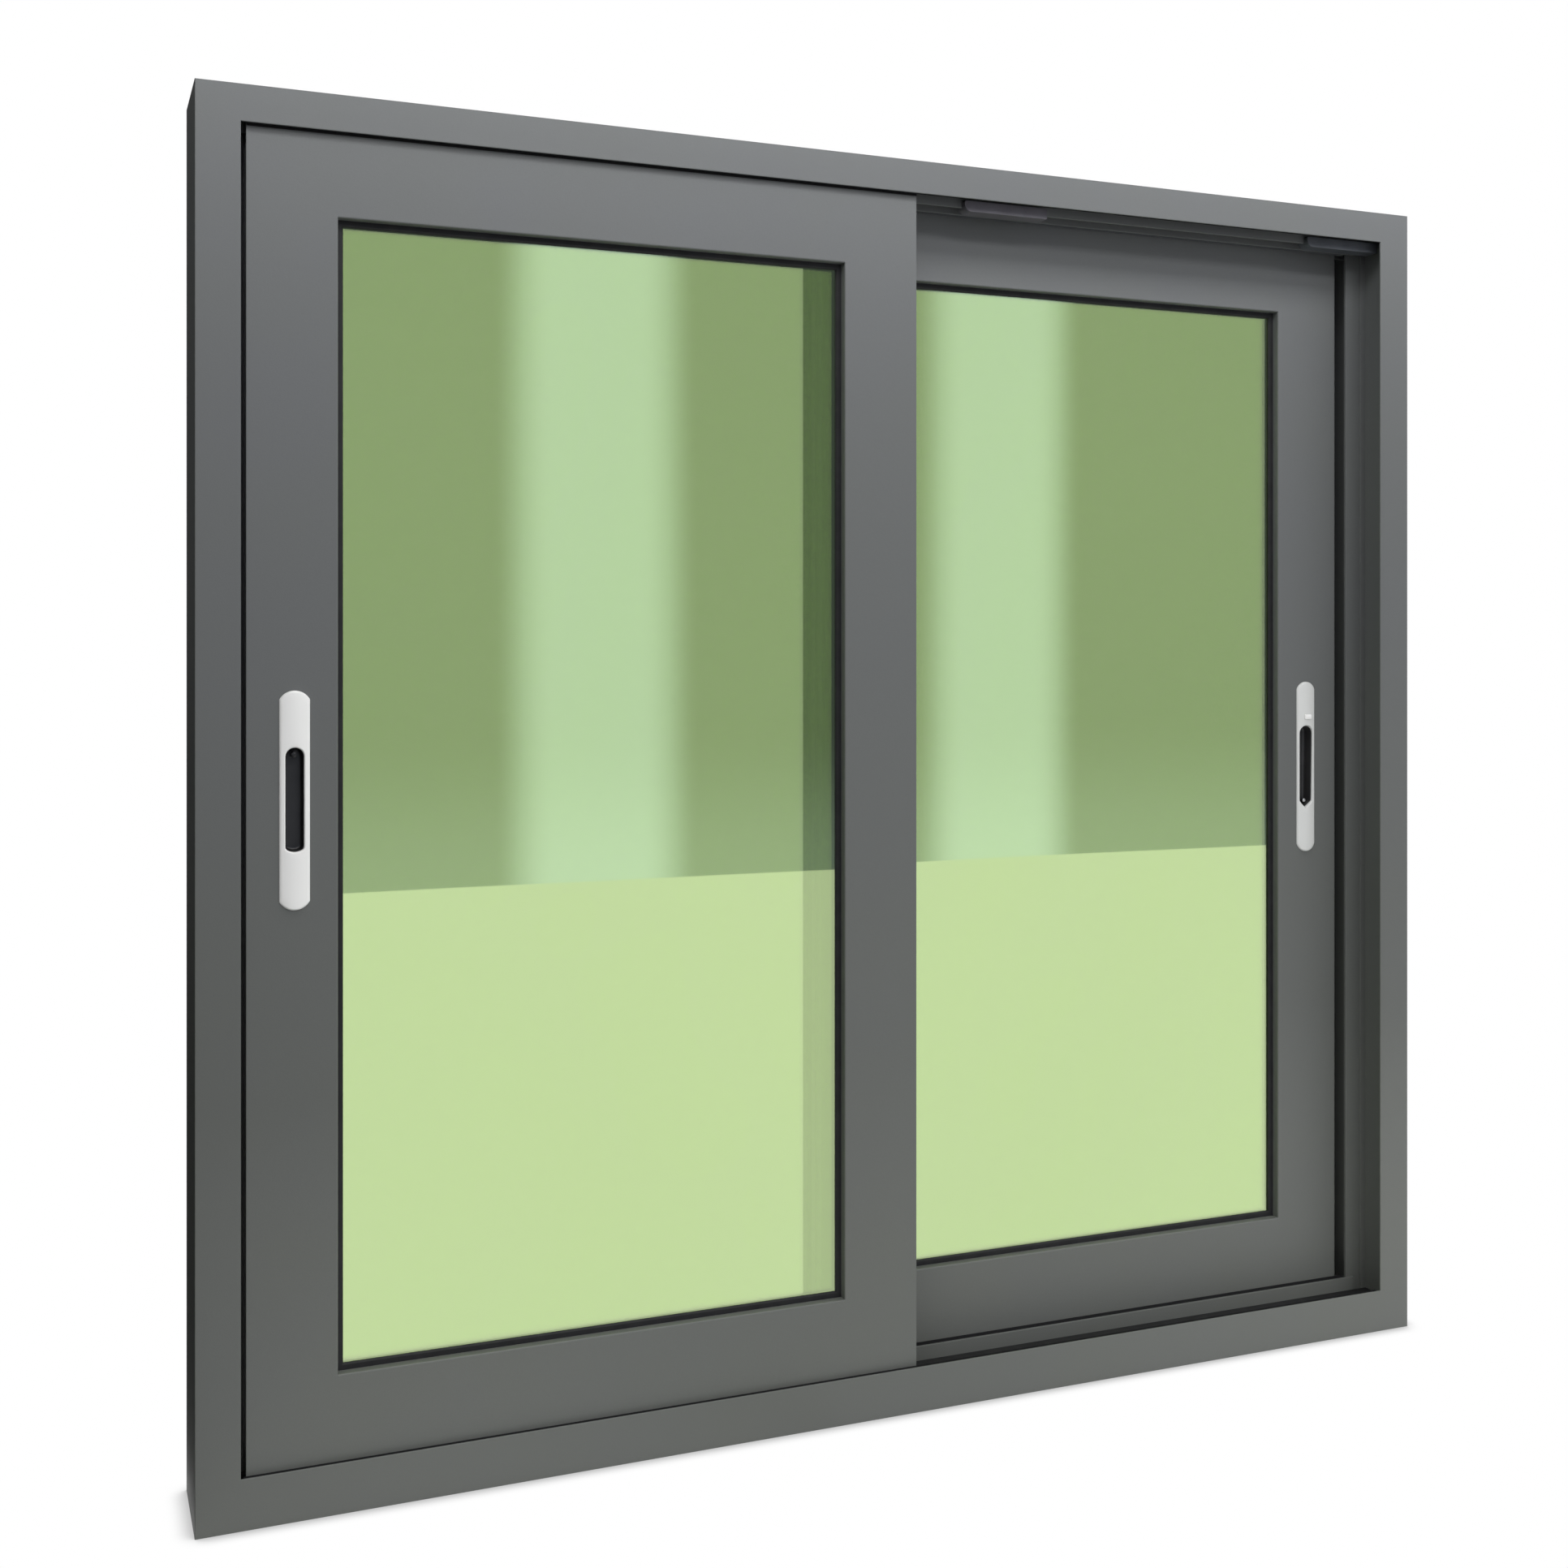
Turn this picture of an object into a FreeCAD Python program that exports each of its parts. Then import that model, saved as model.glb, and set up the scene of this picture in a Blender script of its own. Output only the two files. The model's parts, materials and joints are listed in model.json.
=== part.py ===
import FreeCAD, Part
import math
import os
from FreeCAD import Vector

# A horizontal sliding window: a four-sided channel frame with two tracks, a front sash on the left
# and a rear sash on the right, each glazed with one tinted pane and fitted with a flush lock.
# Millimetres. X runs to the right, Y away from the room, Z up. The origin is the middle of the
# sill's underside, half way through the depth of the frame.

# Driving sizes: the frame
FRAME_WIDTH = 1250.0
FRAME_HEIGHT = 1200.0
WALL = 1.8
EDGE_ROUND = 0.7
LEG_ROUND = 1.5
FULL_ROUND = 0.98
JAMB_FACE = 36.5
HEAD_FACE = 31.0
SILL_FACE = 43.0
JAMB_FLOOR = 20.0
HEAD_CEILING = 14.0
SILL_FLOOR = 28.4

# Driving sizes: what stands up inside the channels
CENTRE_WALL = 2.6
SILL_WALL_HEIGHT = 44.0
HEAD_WALL_HEIGHT = 36.0
WALL_SETBACK = 1.0
JAMB_FIN = 3.3
JAMB_FIN_REACH = 43.8
JAMB_FOOT_REACH = 6.0
JAMB_FOOT = 3.0
GUIDE_FIN = 3.0
GUIDE_FIN_REACH = 35.0
RAIL_REACH = 33.0
RAIL_SETBACK = 3.0
WEEP_LENGTH = 34.0
WEEP_HEIGHT = 6.0
WEEP_SPACING = 480.0

# Driving sizes: the sashes
SASH_THICKNESS = 32.0
TRACK_CLEARANCE = 5.2
FIN_CLEARANCE = 6.6
SASH_COVER = 9.0
LEFT_SASH_GAP = 4.6
RIGHT_SASH_GAP = 14.4
SASH_OVERLAP = 85.4
STILE_FACE = 75.5
TOP_RAIL_FACE = 80.5
BOTTOM_RAIL_FACE = 81.5
TOP_CHANNEL = 24.0
BOTTOM_CHANNEL = 28.0
STILE_GROOVE_DEPTH = 6.0
STILE_GROOVE_WIDTH = 10.0

# Driving sizes: glazing
LEG_WIDTH = 16.0
LEG_DEPTH = 9.0
GASKET = 2.0
GASKET_SHOWS = 5.5
GASKET_BEVEL = 1.2
GLASS_THICKNESS = 6.0
GLASS_BITE = 10.0
BEAD_WALL = 1.4
BEAD_SLOPE_RISE = 6.0
BEAD_SLOPE_RUN = 5.0

# Driving sizes: the interlock between the meeting stiles
INTERLOCK_PLATE = 1.8
INTERLOCK_PLATE_WIDTH = 30.0
INTERLOCK_FIN = 2.5
REAR_FIN_OFFSET = 1.0
INTERLOCK_CLEAR = 6.5
LEFT_CLOSING = 15.0
RIGHT_CLOSING = 24.0
MOVING_CLEARANCE = 5.0

# Driving sizes: both flush locks
LOCK_HEIGHT = 604.0
LOCK_INSET = 39.5
LOCK_LENGTH = 185.0
LOCK_EDGE = 1.2
LOCK_CROWN = 3.0
RECESS_LENGTH = 88.5
RECESS_DEPTH = 12.0
CUP_WALL = 1.5
CUP_FIT = 0.3

# Driving sizes: the left lock, whose recess has a shallow curved foot
LEFT_LOCK_WIDTH = 25.2
LEFT_LOCK_END_RADIUS = 14.3
LEFT_RECESS_WIDTH = 15.0
LEFT_RECESS_FOOT = 3.2
LEFT_RECESS_SIDE_ROUND = 3.4
LEFT_RECESS_TIP_ROUND = 12.0

# Driving sizes: the right lock, whose recess narrows to a pointed foot, with a button above it
RIGHT_LOCK_WIDTH = 23.6
RIGHT_LOCK_TOP_RADIUS = 13.6
RIGHT_LOCK_BOTTOM_RADIUS = 12.2
RIGHT_RECESS_WIDTH = 16.5
RIGHT_RECESS_FOOT = 6.7
RIGHT_RECESS_SIDE_ROUND = 3.5
RIGHT_RECESS_TIP_ROUND = 2.0
RIGHT_RECESS_TIP_SHIFT = 1.8
RIGHT_RECESS_TAPER = 1.2
BUTTON_WIDTH = 9.4
BUTTON_HEIGHT = 5.6
BUTTON_PROUD = 1.6
BUTTON_OFFSET = 1.0
BUTTON_ABOVE_RECESS = 7.2
BUTTON_TRAVEL = 4.0
BUTTON_STEM = 3.6
BUTTON_ROUND = 1.4
RUNNING_FIT = 0.3

# Driving sizes: rollers and the blocks that stop a sash being lifted out
HOUSING_LENGTH = 62.0
HOUSING_WIDTH = 20.0
HOUSING_FLOOR = 5.5
HOUSING_INSET = 92.0
WHEEL_RADIUS = 12.0
WHEEL_WIDTH = 8.0
WHEEL_GROOVE_DEPTH = 1.6
WHEEL_GROOVE_WIDTH = 4.2
WHEEL_EDGE_ROUND = 0.4
WHEEL_ROOM = 2.0
WHEEL_SIDE_ROOM = 1.0
AXLE_RADIUS = 2.0
BLOCK_WIDTH = 16.0
BLOCK_BOTTOM = 39.5
BLOCK_TOP = 29.0
BLOCK_LENGTH = 92.0
BLOCK_NOSE = 7.0
MIDDLE_BLOCK_AT = 94.5
RIGHT_BLOCK_GAP = 8.5

# Sizes that follow from the ones above
# Depths, from the room side: lip, front sash, centre wall, jamb fin, rear sash, lip
SASH_RECESS = WALL + TRACK_CLEARANCE
FRONT_TRACK = SASH_RECESS + SASH_THICKNESS / 2
WALL_FRONT = SASH_RECESS + SASH_THICKNESS + TRACK_CLEARANCE
WALL_BACK = WALL_FRONT + CENTRE_WALL
FIN_FRONT = WALL_BACK + RUNNING_FIT
FIN_BACK = FIN_FRONT + JAMB_FIN
REAR_TRACK = FIN_BACK + FIN_CLEARANCE + SASH_THICKNESS / 2
FRAME_DEPTH = REAR_TRACK + FRONT_TRACK
HALF_WIDTH = FRAME_WIDTH / 2
HALF_DEPTH = FRAME_DEPTH / 2
SASH_SPACING = REAR_TRACK - FRONT_TRACK - SASH_THICKNESS
SASH_BOTTOM = SILL_FACE - SASH_COVER
SASH_TOP = FRAME_HEIGHT - HEAD_FACE + SASH_COVER
SASH_SPAN = FRAME_WIDTH - 2 * JAMB_FACE - LEFT_SASH_GAP - RIGHT_SASH_GAP
SASH_WIDTH = (SASH_SPAN + SASH_OVERLAP) / 2
LEFT_SASH_X = -HALF_WIDTH + JAMB_FACE + LEFT_SASH_GAP
RIGHT_SASH_X = HALF_WIDTH - JAMB_FACE - RIGHT_SASH_GAP - SASH_WIDTH
FRONT_FACE_Y = SASH_RECESS - HALF_DEPTH
REAR_FACE_Y = HALF_DEPTH - SASH_RECESS - SASH_THICKNESS
STILE_BOX = STILE_FACE - LEG_WIDTH
GLASS_FRONT = LEG_DEPTH + GASKET
GLASS_BACK = GLASS_FRONT + GLASS_THICKNESS
BEAD_FRONT = GLASS_BACK + GASKET
OPENING_TOP = SASH_TOP - TOP_RAIL_FACE
OPENING_BOTTOM = SASH_BOTTOM + BOTTOM_RAIL_FACE
PANE_EDGE = STILE_FACE - GLASS_BITE
RUNNER_TOP = RAIL_REACH + RUNNING_FIT
LEFT_LOCK = {"width": LEFT_LOCK_WIDTH, "top_radius": LEFT_LOCK_END_RADIUS,
             "bottom_radius": LEFT_LOCK_END_RADIUS, "recess_width": LEFT_RECESS_WIDTH,
             "foot": LEFT_RECESS_FOOT, "side_round": LEFT_RECESS_SIDE_ROUND,
             "tip_round": LEFT_RECESS_TIP_ROUND, "tip_shift": 0, "taper": 0}
RIGHT_LOCK = {"width": RIGHT_LOCK_WIDTH, "top_radius": RIGHT_LOCK_TOP_RADIUS,
              "bottom_radius": RIGHT_LOCK_BOTTOM_RADIUS, "recess_width": RIGHT_RECESS_WIDTH,
              "foot": RIGHT_RECESS_FOOT, "side_round": RIGHT_RECESS_SIDE_ROUND,
              "tip_round": RIGHT_RECESS_TIP_ROUND, "tip_shift": RIGHT_RECESS_TIP_SHIFT,
              "taper": RIGHT_RECESS_TAPER}

os.makedirs("parts", exist_ok=True)


# Shapes used by many pieces

def rounded_wire(corners, to_space):
    """Closed wire through corners (a, b, radius); to_space turns (a, b) into a point."""
    arcs = []
    for index, (a, b, radius) in enumerate(corners):
        here = Vector(a, b, 0)
        before = Vector(corners[index - 1][0], corners[index - 1][1], 0) - here
        after_a, after_b, _ = corners[(index + 1) % len(corners)]
        after = Vector(after_a, after_b, 0) - here
        before.normalize()
        after.normalize()
        if radius <= 0:
            arcs.append((here, None, here))
            continue
        half_angle = before.getAngle(after) / 2
        reach = radius / math.tan(half_angle)
        middle = before + after
        middle.normalize()
        dip = radius / math.sin(half_angle) - radius
        arcs.append((here + before * reach, here + middle * dip, here + after * reach))
    edges = []
    for index, (start, middle, end) in enumerate(arcs):
        if middle is not None:
            edges.append(Part.Arc(to_space(start), to_space(middle), to_space(end)).toShape())
        following = arcs[(index + 1) % len(arcs)][0]
        if end.distanceToPoint(following) > 1e-6:
            edges.append(Part.makeLine(to_space(end), to_space(following)))
    return Part.Wire(Part.__sortEdges__(edges))


def section_solid(outer, holes, to_space, along):
    """Solid of an outer outline with holes, pushed along a vector."""
    wires = [rounded_wire(corners, to_space) for corners in [outer] + holes]
    face = Part.makeFace(wires, "Part::FaceMakerBullseye")
    solid = face.extrude(along)
    return solid.Solids[0]


def rectangle(a0, a1, b0, b1, radius=0.0):
    """Corners of a rectangle, all with one radius."""
    return [(a0, b0, radius), (a1, b0, radius), (a1, b1, radius), (a0, b1, radius)]


def block(x0, x1, y0, y1, z0, z1):
    """Box between two corners."""
    return Part.makeBox(x1 - x0, y1 - y0, z1 - z0, Vector(x0, y0, z0))


def edge_cutter(a, b, radius, to_space, along):
    """What rounding takes off a front edge at (a, b); the piece lies at smaller a and larger b."""
    corner = to_space(Vector(a, b, 0))
    start = to_space(Vector(a - radius, b, 0))
    end = to_space(Vector(a, b + radius, 0))
    bend = radius - radius / math.sqrt(2)
    arc = Part.Arc(start, to_space(Vector(a - bend, b + bend, 0)), end).toShape()
    wire = Part.Wire([Part.makeLine(corner, start), arc, Part.makeLine(end, corner)])
    return Part.Face(wire).extrude(along)


def save(name, shape):
    """Write one piece as its own file."""
    solids = shape.Solids
    if len(solids) != 1:
        raise ValueError(name + " has " + str(len(solids)) + " solids")
    solids[0].exportStep("parts/" + name + ".step")


# The frame: head and sill run between two full-height jambs

def channel_outline(face, floor, ribs, outer_round, lip_round):
    """Half-open channel: a hollow box with a lip at each side and, between them, the ribs' corners.

    Depth is measured from the room side and height from the outside of the frame inwards.
    """
    back = FRAME_DEPTH - WALL
    outline = [(0, 0, outer_round), (0, face, lip_round), (WALL, face, lip_round), (WALL, floor, 0)]
    outline += ribs
    outline += [(back, floor, 0), (back, face, lip_round), (FRAME_DEPTH, face, lip_round)]
    outline.append((FRAME_DEPTH, 0, outer_round))
    return outline


def chambers(floor):
    """Three hollow chambers of the box, parted by a web under each track's inner side."""
    webs = [FRAME_DEPTH / 3, FRAME_DEPTH * 2 / 3]
    starts = [WALL] + [web + WALL / 2 for web in webs]
    ends = [web - WALL / 2 for web in webs] + [FRAME_DEPTH - WALL]
    return [rectangle(start, end, WALL, floor - WALL) for start, end in zip(starts, ends)]


def rib_corners(front, thickness, floor, reach, tip):
    """Corners of a rib that stands up from the channel's floor."""
    back = front + thickness
    return [(front, floor, 0), (front, reach, tip), (back, reach, tip), (back, floor, 0)]


def cross_member(face, floor, centre_reach, fin_reach, fin_tip, to_height):
    """Head or sill, coped at both ends so that the jambs' lips run past it."""
    front_fin = FRONT_TRACK - GUIDE_FIN / 2
    rear_fin = REAR_TRACK - GUIDE_FIN / 2
    ribs = (rib_corners(front_fin, GUIDE_FIN, floor, fin_reach, fin_tip)
            + rib_corners(WALL_FRONT, CENTRE_WALL, floor, centre_reach, EDGE_ROUND / 2)
            + rib_corners(rear_fin, GUIDE_FIN, floor, fin_reach, fin_tip))
    start = -HALF_WIDTH + JAMB_FLOOR

    def to_space(point):
        return Vector(start, point.x - HALF_DEPTH, to_height(point.y))

    length = FRAME_WIDTH - 2 * JAMB_FLOOR
    outline = channel_outline(face, floor, ribs, 0, EDGE_ROUND)
    member = section_solid(outline, chambers(floor), to_space, Vector(length, 0, 0))
    low, high = sorted((to_height(0), to_height(face)))
    inner_low, inner_high = sorted((to_height(floor), to_height(centre_reach)))
    for side in (-1, 1):
        end = side * HALF_WIDTH
        lip_end = end - side * JAMB_FACE
        wall_end = lip_end + side * WALL_SETBACK
        rib_end = end - side * (JAMB_FLOOR + RAIL_SETBACK)
        for y0 in (-HALF_DEPTH, HALF_DEPTH - WALL):
            x0, x1 = sorted((lip_end, end))
            member = member.cut(block(x0, x1, y0, y0 + WALL, low, high))
        x0, x1 = sorted((wall_end, end))
        wall_y = WALL_FRONT - HALF_DEPTH
        member = member.cut(block(x0, x1, wall_y, wall_y + CENTRE_WALL, inner_low, inner_high))
        x0, x1 = sorted((rib_end, end))
        for fin in (front_fin, rear_fin):
            fin_y = fin - HALF_DEPTH
            member = member.cut(block(x0, x1, fin_y, fin_y + GUIDE_FIN, inner_low, inner_high))
    return member


def weep_slot(x):
    """Rounded slot through the outdoor wall of the sill."""
    z = SILL_FLOOR / 2
    corners = rectangle(x - WEEP_LENGTH / 2, x + WEEP_LENGTH / 2, z - WEEP_HEIGHT / 2, z + WEEP_HEIGHT / 2,
                        FULL_ROUND * WEEP_HEIGHT / 2)
    return section_solid(corners, [], lambda p: Vector(p.x, HALF_DEPTH - 2 * WALL, p.y), Vector(0, 3 * WALL, 0))


def jamb(side):
    """Full-height jamb: side is -1 for the left and 1 for the right."""
    tip = EDGE_ROUND / 2
    foot_front = FIN_FRONT - JAMB_FOOT
    foot_reach = JAMB_FLOOR + JAMB_FOOT_REACH
    # One rib with a step: the foot stands in front of the fin and shares its side
    stepped_rib = [(foot_front, JAMB_FLOOR, 0), (foot_front, foot_reach, tip), (FIN_FRONT, foot_reach, 0),
                   (FIN_FRONT, JAMB_FIN_REACH, tip), (FIN_BACK, JAMB_FIN_REACH, tip), (FIN_BACK, JAMB_FLOOR, 0)]
    outline = channel_outline(JAMB_FACE, JAMB_FLOOR, stepped_rib, EDGE_ROUND, 0)

    def to_space(point):
        return Vector(side * (HALF_WIDTH - point.y), point.x - HALF_DEPTH, 0)

    solid = section_solid(outline, chambers(JAMB_FLOOR), to_space, Vector(0, 0, FRAME_HEIGHT))
    x0, x1 = sorted((side * (HALF_WIDTH - JAMB_FLOOR), 0))
    for z0, z1 in ((0, SILL_FLOOR), (FRAME_HEIGHT - HEAD_CEILING, FRAME_HEIGHT)):
        solid = solid.cut(block(x0, x1, WALL - HALF_DEPTH, HALF_DEPTH - WALL, z0, z1))
    # The lip's edge is rounded only where it stands free, between sill and head
    free_height = Vector(0, 0, FRAME_HEIGHT - HEAD_FACE - SILL_FACE)
    for outwards in (-1, 1):
        def lip_edge(point):
            return Vector(side * (HALF_WIDTH - point.x), outwards * (HALF_DEPTH - point.y), SILL_FACE)
        solid = solid.cut(edge_cutter(JAMB_FACE, 0, EDGE_ROUND, lip_edge, free_height))
    return solid


sill = cross_member(SILL_FACE, SILL_FLOOR, SILL_WALL_HEIGHT, RAIL_REACH, FULL_ROUND * GUIDE_FIN / 2,
                    lambda height: height)
for weep_x in (-WEEP_SPACING / 2, WEEP_SPACING / 2):
    sill = sill.cut(weep_slot(weep_x))
save("frame_sill", sill)
head = cross_member(HEAD_FACE, HEAD_CEILING, HEAD_WALL_HEIGHT, GUIDE_FIN_REACH, EDGE_ROUND / 2,
                    lambda height: FRAME_HEIGHT - height)
save("frame_head", head)
save("frame_left_jamb", jamb(-1))
save("frame_right_jamb", jamb(1))


# Anti-lift blocks, clipped on the front guide fin of the head

def anti_lift_block(x0, x1):
    """Block with a rounded nose at its left end and a slot for the guide fin."""
    bottom = FRAME_HEIGHT - BLOCK_BOTTOM
    top = FRAME_HEIGHT - BLOCK_TOP
    fin_tip = FRAME_HEIGHT - GUIDE_FIN_REACH
    corners = [(x0, bottom, BLOCK_NOSE), (x0, top, BLOCK_NOSE / 3), (x1, top, EDGE_ROUND / 2),
               (x1, bottom, EDGE_ROUND / 2)]
    front = FRONT_TRACK - BLOCK_WIDTH / 2 - HALF_DEPTH
    body = section_solid(corners, [], lambda p: Vector(p.x, front, p.y), Vector(0, BLOCK_WIDTH, 0))
    fin_front = FRONT_TRACK - GUIDE_FIN / 2 - HALF_DEPTH
    return body.cut(block(x0 - 1, x1 + 1, fin_front, fin_front + GUIDE_FIN, fin_tip, top + 1))


right_block_end = HALF_WIDTH - JAMB_FLOOR - RIGHT_BLOCK_GAP
save("anti_lift_block_middle", anti_lift_block(MIDDLE_BLOCK_AT, MIDDLE_BLOCK_AT + BLOCK_LENGTH))
save("anti_lift_block_right", anti_lift_block(right_block_end - BLOCK_LENGTH, right_block_end))


# Sash members: across is measured from the sash's outer edge, depth from its room face

def leg_chamber(box_end):
    """Hollow inside the leg that stands in front of the glass."""
    return rectangle(box_end, box_end + LEG_WIDTH - WALL, WALL, LEG_DEPTH - WALL)


def stile(edge_x, inward, face_y):
    """Stile: hollow box, grooved outer edge, glazing leg; notched at both ends for the tracks."""
    groove_front = (SASH_THICKNESS - STILE_GROOVE_WIDTH) / 2
    groove_back = groove_front + STILE_GROOVE_WIDTH
    inner = STILE_BOX - WALL
    outline = [(0, 0, EDGE_ROUND), (STILE_FACE, 0, 0), (STILE_FACE, LEG_DEPTH, 0),
               (STILE_BOX, LEG_DEPTH, 0), (STILE_BOX, SASH_THICKNESS, 0), (0, SASH_THICKNESS, EDGE_ROUND),
               (0, groove_back, EDGE_ROUND / 2), (STILE_GROOVE_DEPTH, groove_back, 0),
               (STILE_GROOVE_DEPTH, groove_front, 0), (0, groove_front, EDGE_ROUND / 2)]
    core = STILE_GROOVE_DEPTH + WALL
    hollow = [(WALL, WALL, 0), (inner, WALL, 0), (inner, SASH_THICKNESS - WALL, 0),
              (WALL, SASH_THICKNESS - WALL, 0), (WALL, groove_back + WALL, 0), (core, groove_back + WALL, 0),
              (core, groove_front - WALL, 0), (WALL, groove_front - WALL, 0)]

    def to_space(point):
        return Vector(edge_x + inward * point.x, face_y + point.y, SASH_BOTTOM)

    height = Vector(0, 0, SASH_TOP - SASH_BOTTOM)
    solid = section_solid(outline, [hollow, leg_chamber(STILE_BOX)], to_space, height)
    x0, x1 = sorted((edge_x - inward, edge_x + inward * (STILE_FACE + 1)))
    y0, y1 = face_y + WALL, face_y + SASH_THICKNESS - WALL
    solid = solid.cut(block(x0, x1, y0, y1, SASH_TOP - TOP_CHANNEL, SASH_TOP))
    solid = solid.cut(block(x0, x1, y0, y1, SASH_BOTTOM, SASH_BOTTOM + BOTTOM_CHANNEL))

    def leg_edge(point):
        return Vector(edge_x + inward * point.x, face_y + point.y, OPENING_BOTTOM)

    # The leg's edge is rounded only beside the pane, so the rails butt on a sharp edge
    return solid.cut(edge_cutter(STILE_FACE, 0, LEG_ROUND, leg_edge, Vector(0, 0, OPENING_TOP - OPENING_BOTTOM)))


def rail(sash_x, face_y, edge_z, inward, face, channel):
    """Rail: an open channel along the sash's edge, a hollow box and the glazing leg."""
    box_end = face - LEG_WIDTH
    back = SASH_THICKNESS - WALL
    outline = [(0, 0, EDGE_ROUND / 2), (face, 0, LEG_ROUND), (face, LEG_DEPTH, EDGE_ROUND / 2),
               (box_end, LEG_DEPTH, 0), (box_end, SASH_THICKNESS, 0), (0, SASH_THICKNESS, EDGE_ROUND / 2),
               (0, back, EDGE_ROUND / 2), (channel, back, 0), (channel, WALL, 0), (0, WALL, EDGE_ROUND / 2)]
    hollow = rectangle(channel + WALL, box_end - WALL, WALL, back)

    def to_space(point):
        return Vector(sash_x + STILE_BOX, face_y + point.y, edge_z + inward * point.x)

    length = SASH_WIDTH - 2 * STILE_BOX
    solid = section_solid(outline, [hollow, leg_chamber(box_end)], to_space, Vector(length, 0, 0))
    z0, z1 = sorted((edge_z, edge_z + inward * face))
    for x in (sash_x + STILE_BOX, sash_x + SASH_WIDTH - STILE_FACE):
        solid = solid.cut(block(x, x + LEG_WIDTH, face_y, face_y + LEG_DEPTH, z0, z1))
    return solid


def pane_ring(sash_x, face_y, inner_reach, front, thickness, bevel):
    """Gasket ring between the pane's edge and a little past the glazing leg."""
    x0, x1 = sash_x + PANE_EDGE, sash_x + SASH_WIDTH - PANE_EDGE
    z0, z1 = OPENING_BOTTOM - GLASS_BITE, OPENING_TOP + GLASS_BITE
    ring = block(x0, x1, face_y + front, face_y + front + thickness, z0, z1)
    reach = GLASS_BITE + inner_reach
    near = face_y + front
    far = near + thickness
    opening = block(x0 + reach, x1 - reach, near, far, z0 + reach, z1 - reach)
    ring = ring.cut(opening)
    wide = reach - bevel
    frames = []
    for inset, y in ((wide, near), (reach, near + bevel)):
        points = [Vector(x0 + inset, y, z0 + inset), Vector(x1 - inset, y, z0 + inset),
                  Vector(x1 - inset, y, z1 - inset), Vector(x0 + inset, y, z1 - inset)]
        frames.append(Part.makePolygon(points + points[:1]))
    return ring.cut(Part.makeLoft(frames, True, True))


def bead(sash_x, face_y, side):
    """Snap-in glazing bead on the outdoor side, mitred at both ends."""
    x0, x1 = sash_x + STILE_BOX, sash_x + SASH_WIDTH - STILE_BOX
    z0, z1 = OPENING_BOTTOM - LEG_WIDTH, OPENING_TOP + LEG_WIDTH
    back = SASH_THICKNESS
    outline = [(0, BEAD_FRONT, 0), (LEG_WIDTH, BEAD_FRONT, EDGE_ROUND / 2),
               (LEG_WIDTH, back - BEAD_SLOPE_RISE, EDGE_ROUND * 2),
               (LEG_WIDTH - BEAD_SLOPE_RUN, back, EDGE_ROUND * 2), (0, back, 0)]
    slope = BEAD_WALL / 2
    hollow = [(BEAD_WALL, BEAD_FRONT + BEAD_WALL, 0), (LEG_WIDTH - BEAD_WALL, BEAD_FRONT + BEAD_WALL, 0),
              (LEG_WIDTH - BEAD_WALL, back - BEAD_SLOPE_RISE - slope, 0),
              (LEG_WIDTH - BEAD_SLOPE_RUN - slope, back - BEAD_WALL, 0), (BEAD_WALL, back - BEAD_WALL, 0)]
    if side in ("top", "bottom"):
        edge, inward = (z1, -1) if side == "top" else (z0, 1)
        solid = section_solid(outline, [hollow], lambda p: Vector(x0, face_y + p.y, edge + inward * p.x),
                              Vector(x1 - x0, 0, 0))
        corners = [(x0, edge), (x1, edge), (x1 - LEG_WIDTH, edge + inward * LEG_WIDTH),
                   (x0 + LEG_WIDTH, edge + inward * LEG_WIDTH)]
    else:
        edge, inward = (x0, 1) if side == "left" else (x1, -1)
        solid = section_solid(outline, [hollow], lambda p: Vector(edge + inward * p.x, face_y + p.y, z0),
                              Vector(0, 0, z1 - z0))
        corners = [(edge, z0), (edge, z1), (edge + inward * LEG_WIDTH, z1 - LEG_WIDTH),
                   (edge + inward * LEG_WIDTH, z0 + LEG_WIDTH)]
    points = [Vector(x, face_y, z) for x, z in corners]
    mitre = Part.Face(Part.makePolygon(points + points[:1])).extrude(Vector(0, SASH_THICKNESS, 0))
    return solid.common(mitre)


def interlock(hook_x, face_y, out, reach):
    """Angle strip on a meeting stile: a plate on the face and a fin towards the other sash."""
    z0 = SILL_WALL_HEIGHT + INTERLOCK_CLEAR
    z1 = FRAME_HEIGHT - HEAD_WALL_HEIGHT - INTERLOCK_CLEAR
    plate_y0, plate_y1 = sorted((face_y, face_y + out * INTERLOCK_PLATE))
    fin_y0, fin_y1 = sorted((face_y, face_y + out * reach))
    plate = block(hook_x, hook_x + INTERLOCK_PLATE_WIDTH, plate_y0, plate_y1, z0, z1)
    fin = block(hook_x, hook_x + INTERLOCK_FIN, fin_y0, fin_y1, z0, z1)
    return plate.fuse(fin).removeSplitter()


# Flush locks

def recess_outline(lock, grow):
    """Outline of the finger recess about its middle: half round at the top, with a foot at the bottom.

    The foot is two slopes that meet in a rounded tip, which may stand off the middle.
    """
    half = lock["recess_width"] / 2 + grow
    top = RECESS_LENGTH / 2 + grow
    side_round = lock["side_round"] + grow
    foot = lock["foot"] - top
    return [(-half, top, half * FULL_ROUND), (half, top, half * FULL_ROUND),
            (half - lock["taper"], foot, side_round), (-lock["tip_shift"], -top, lock["tip_round"] + grow),
            (-half, foot, side_round)]


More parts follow.
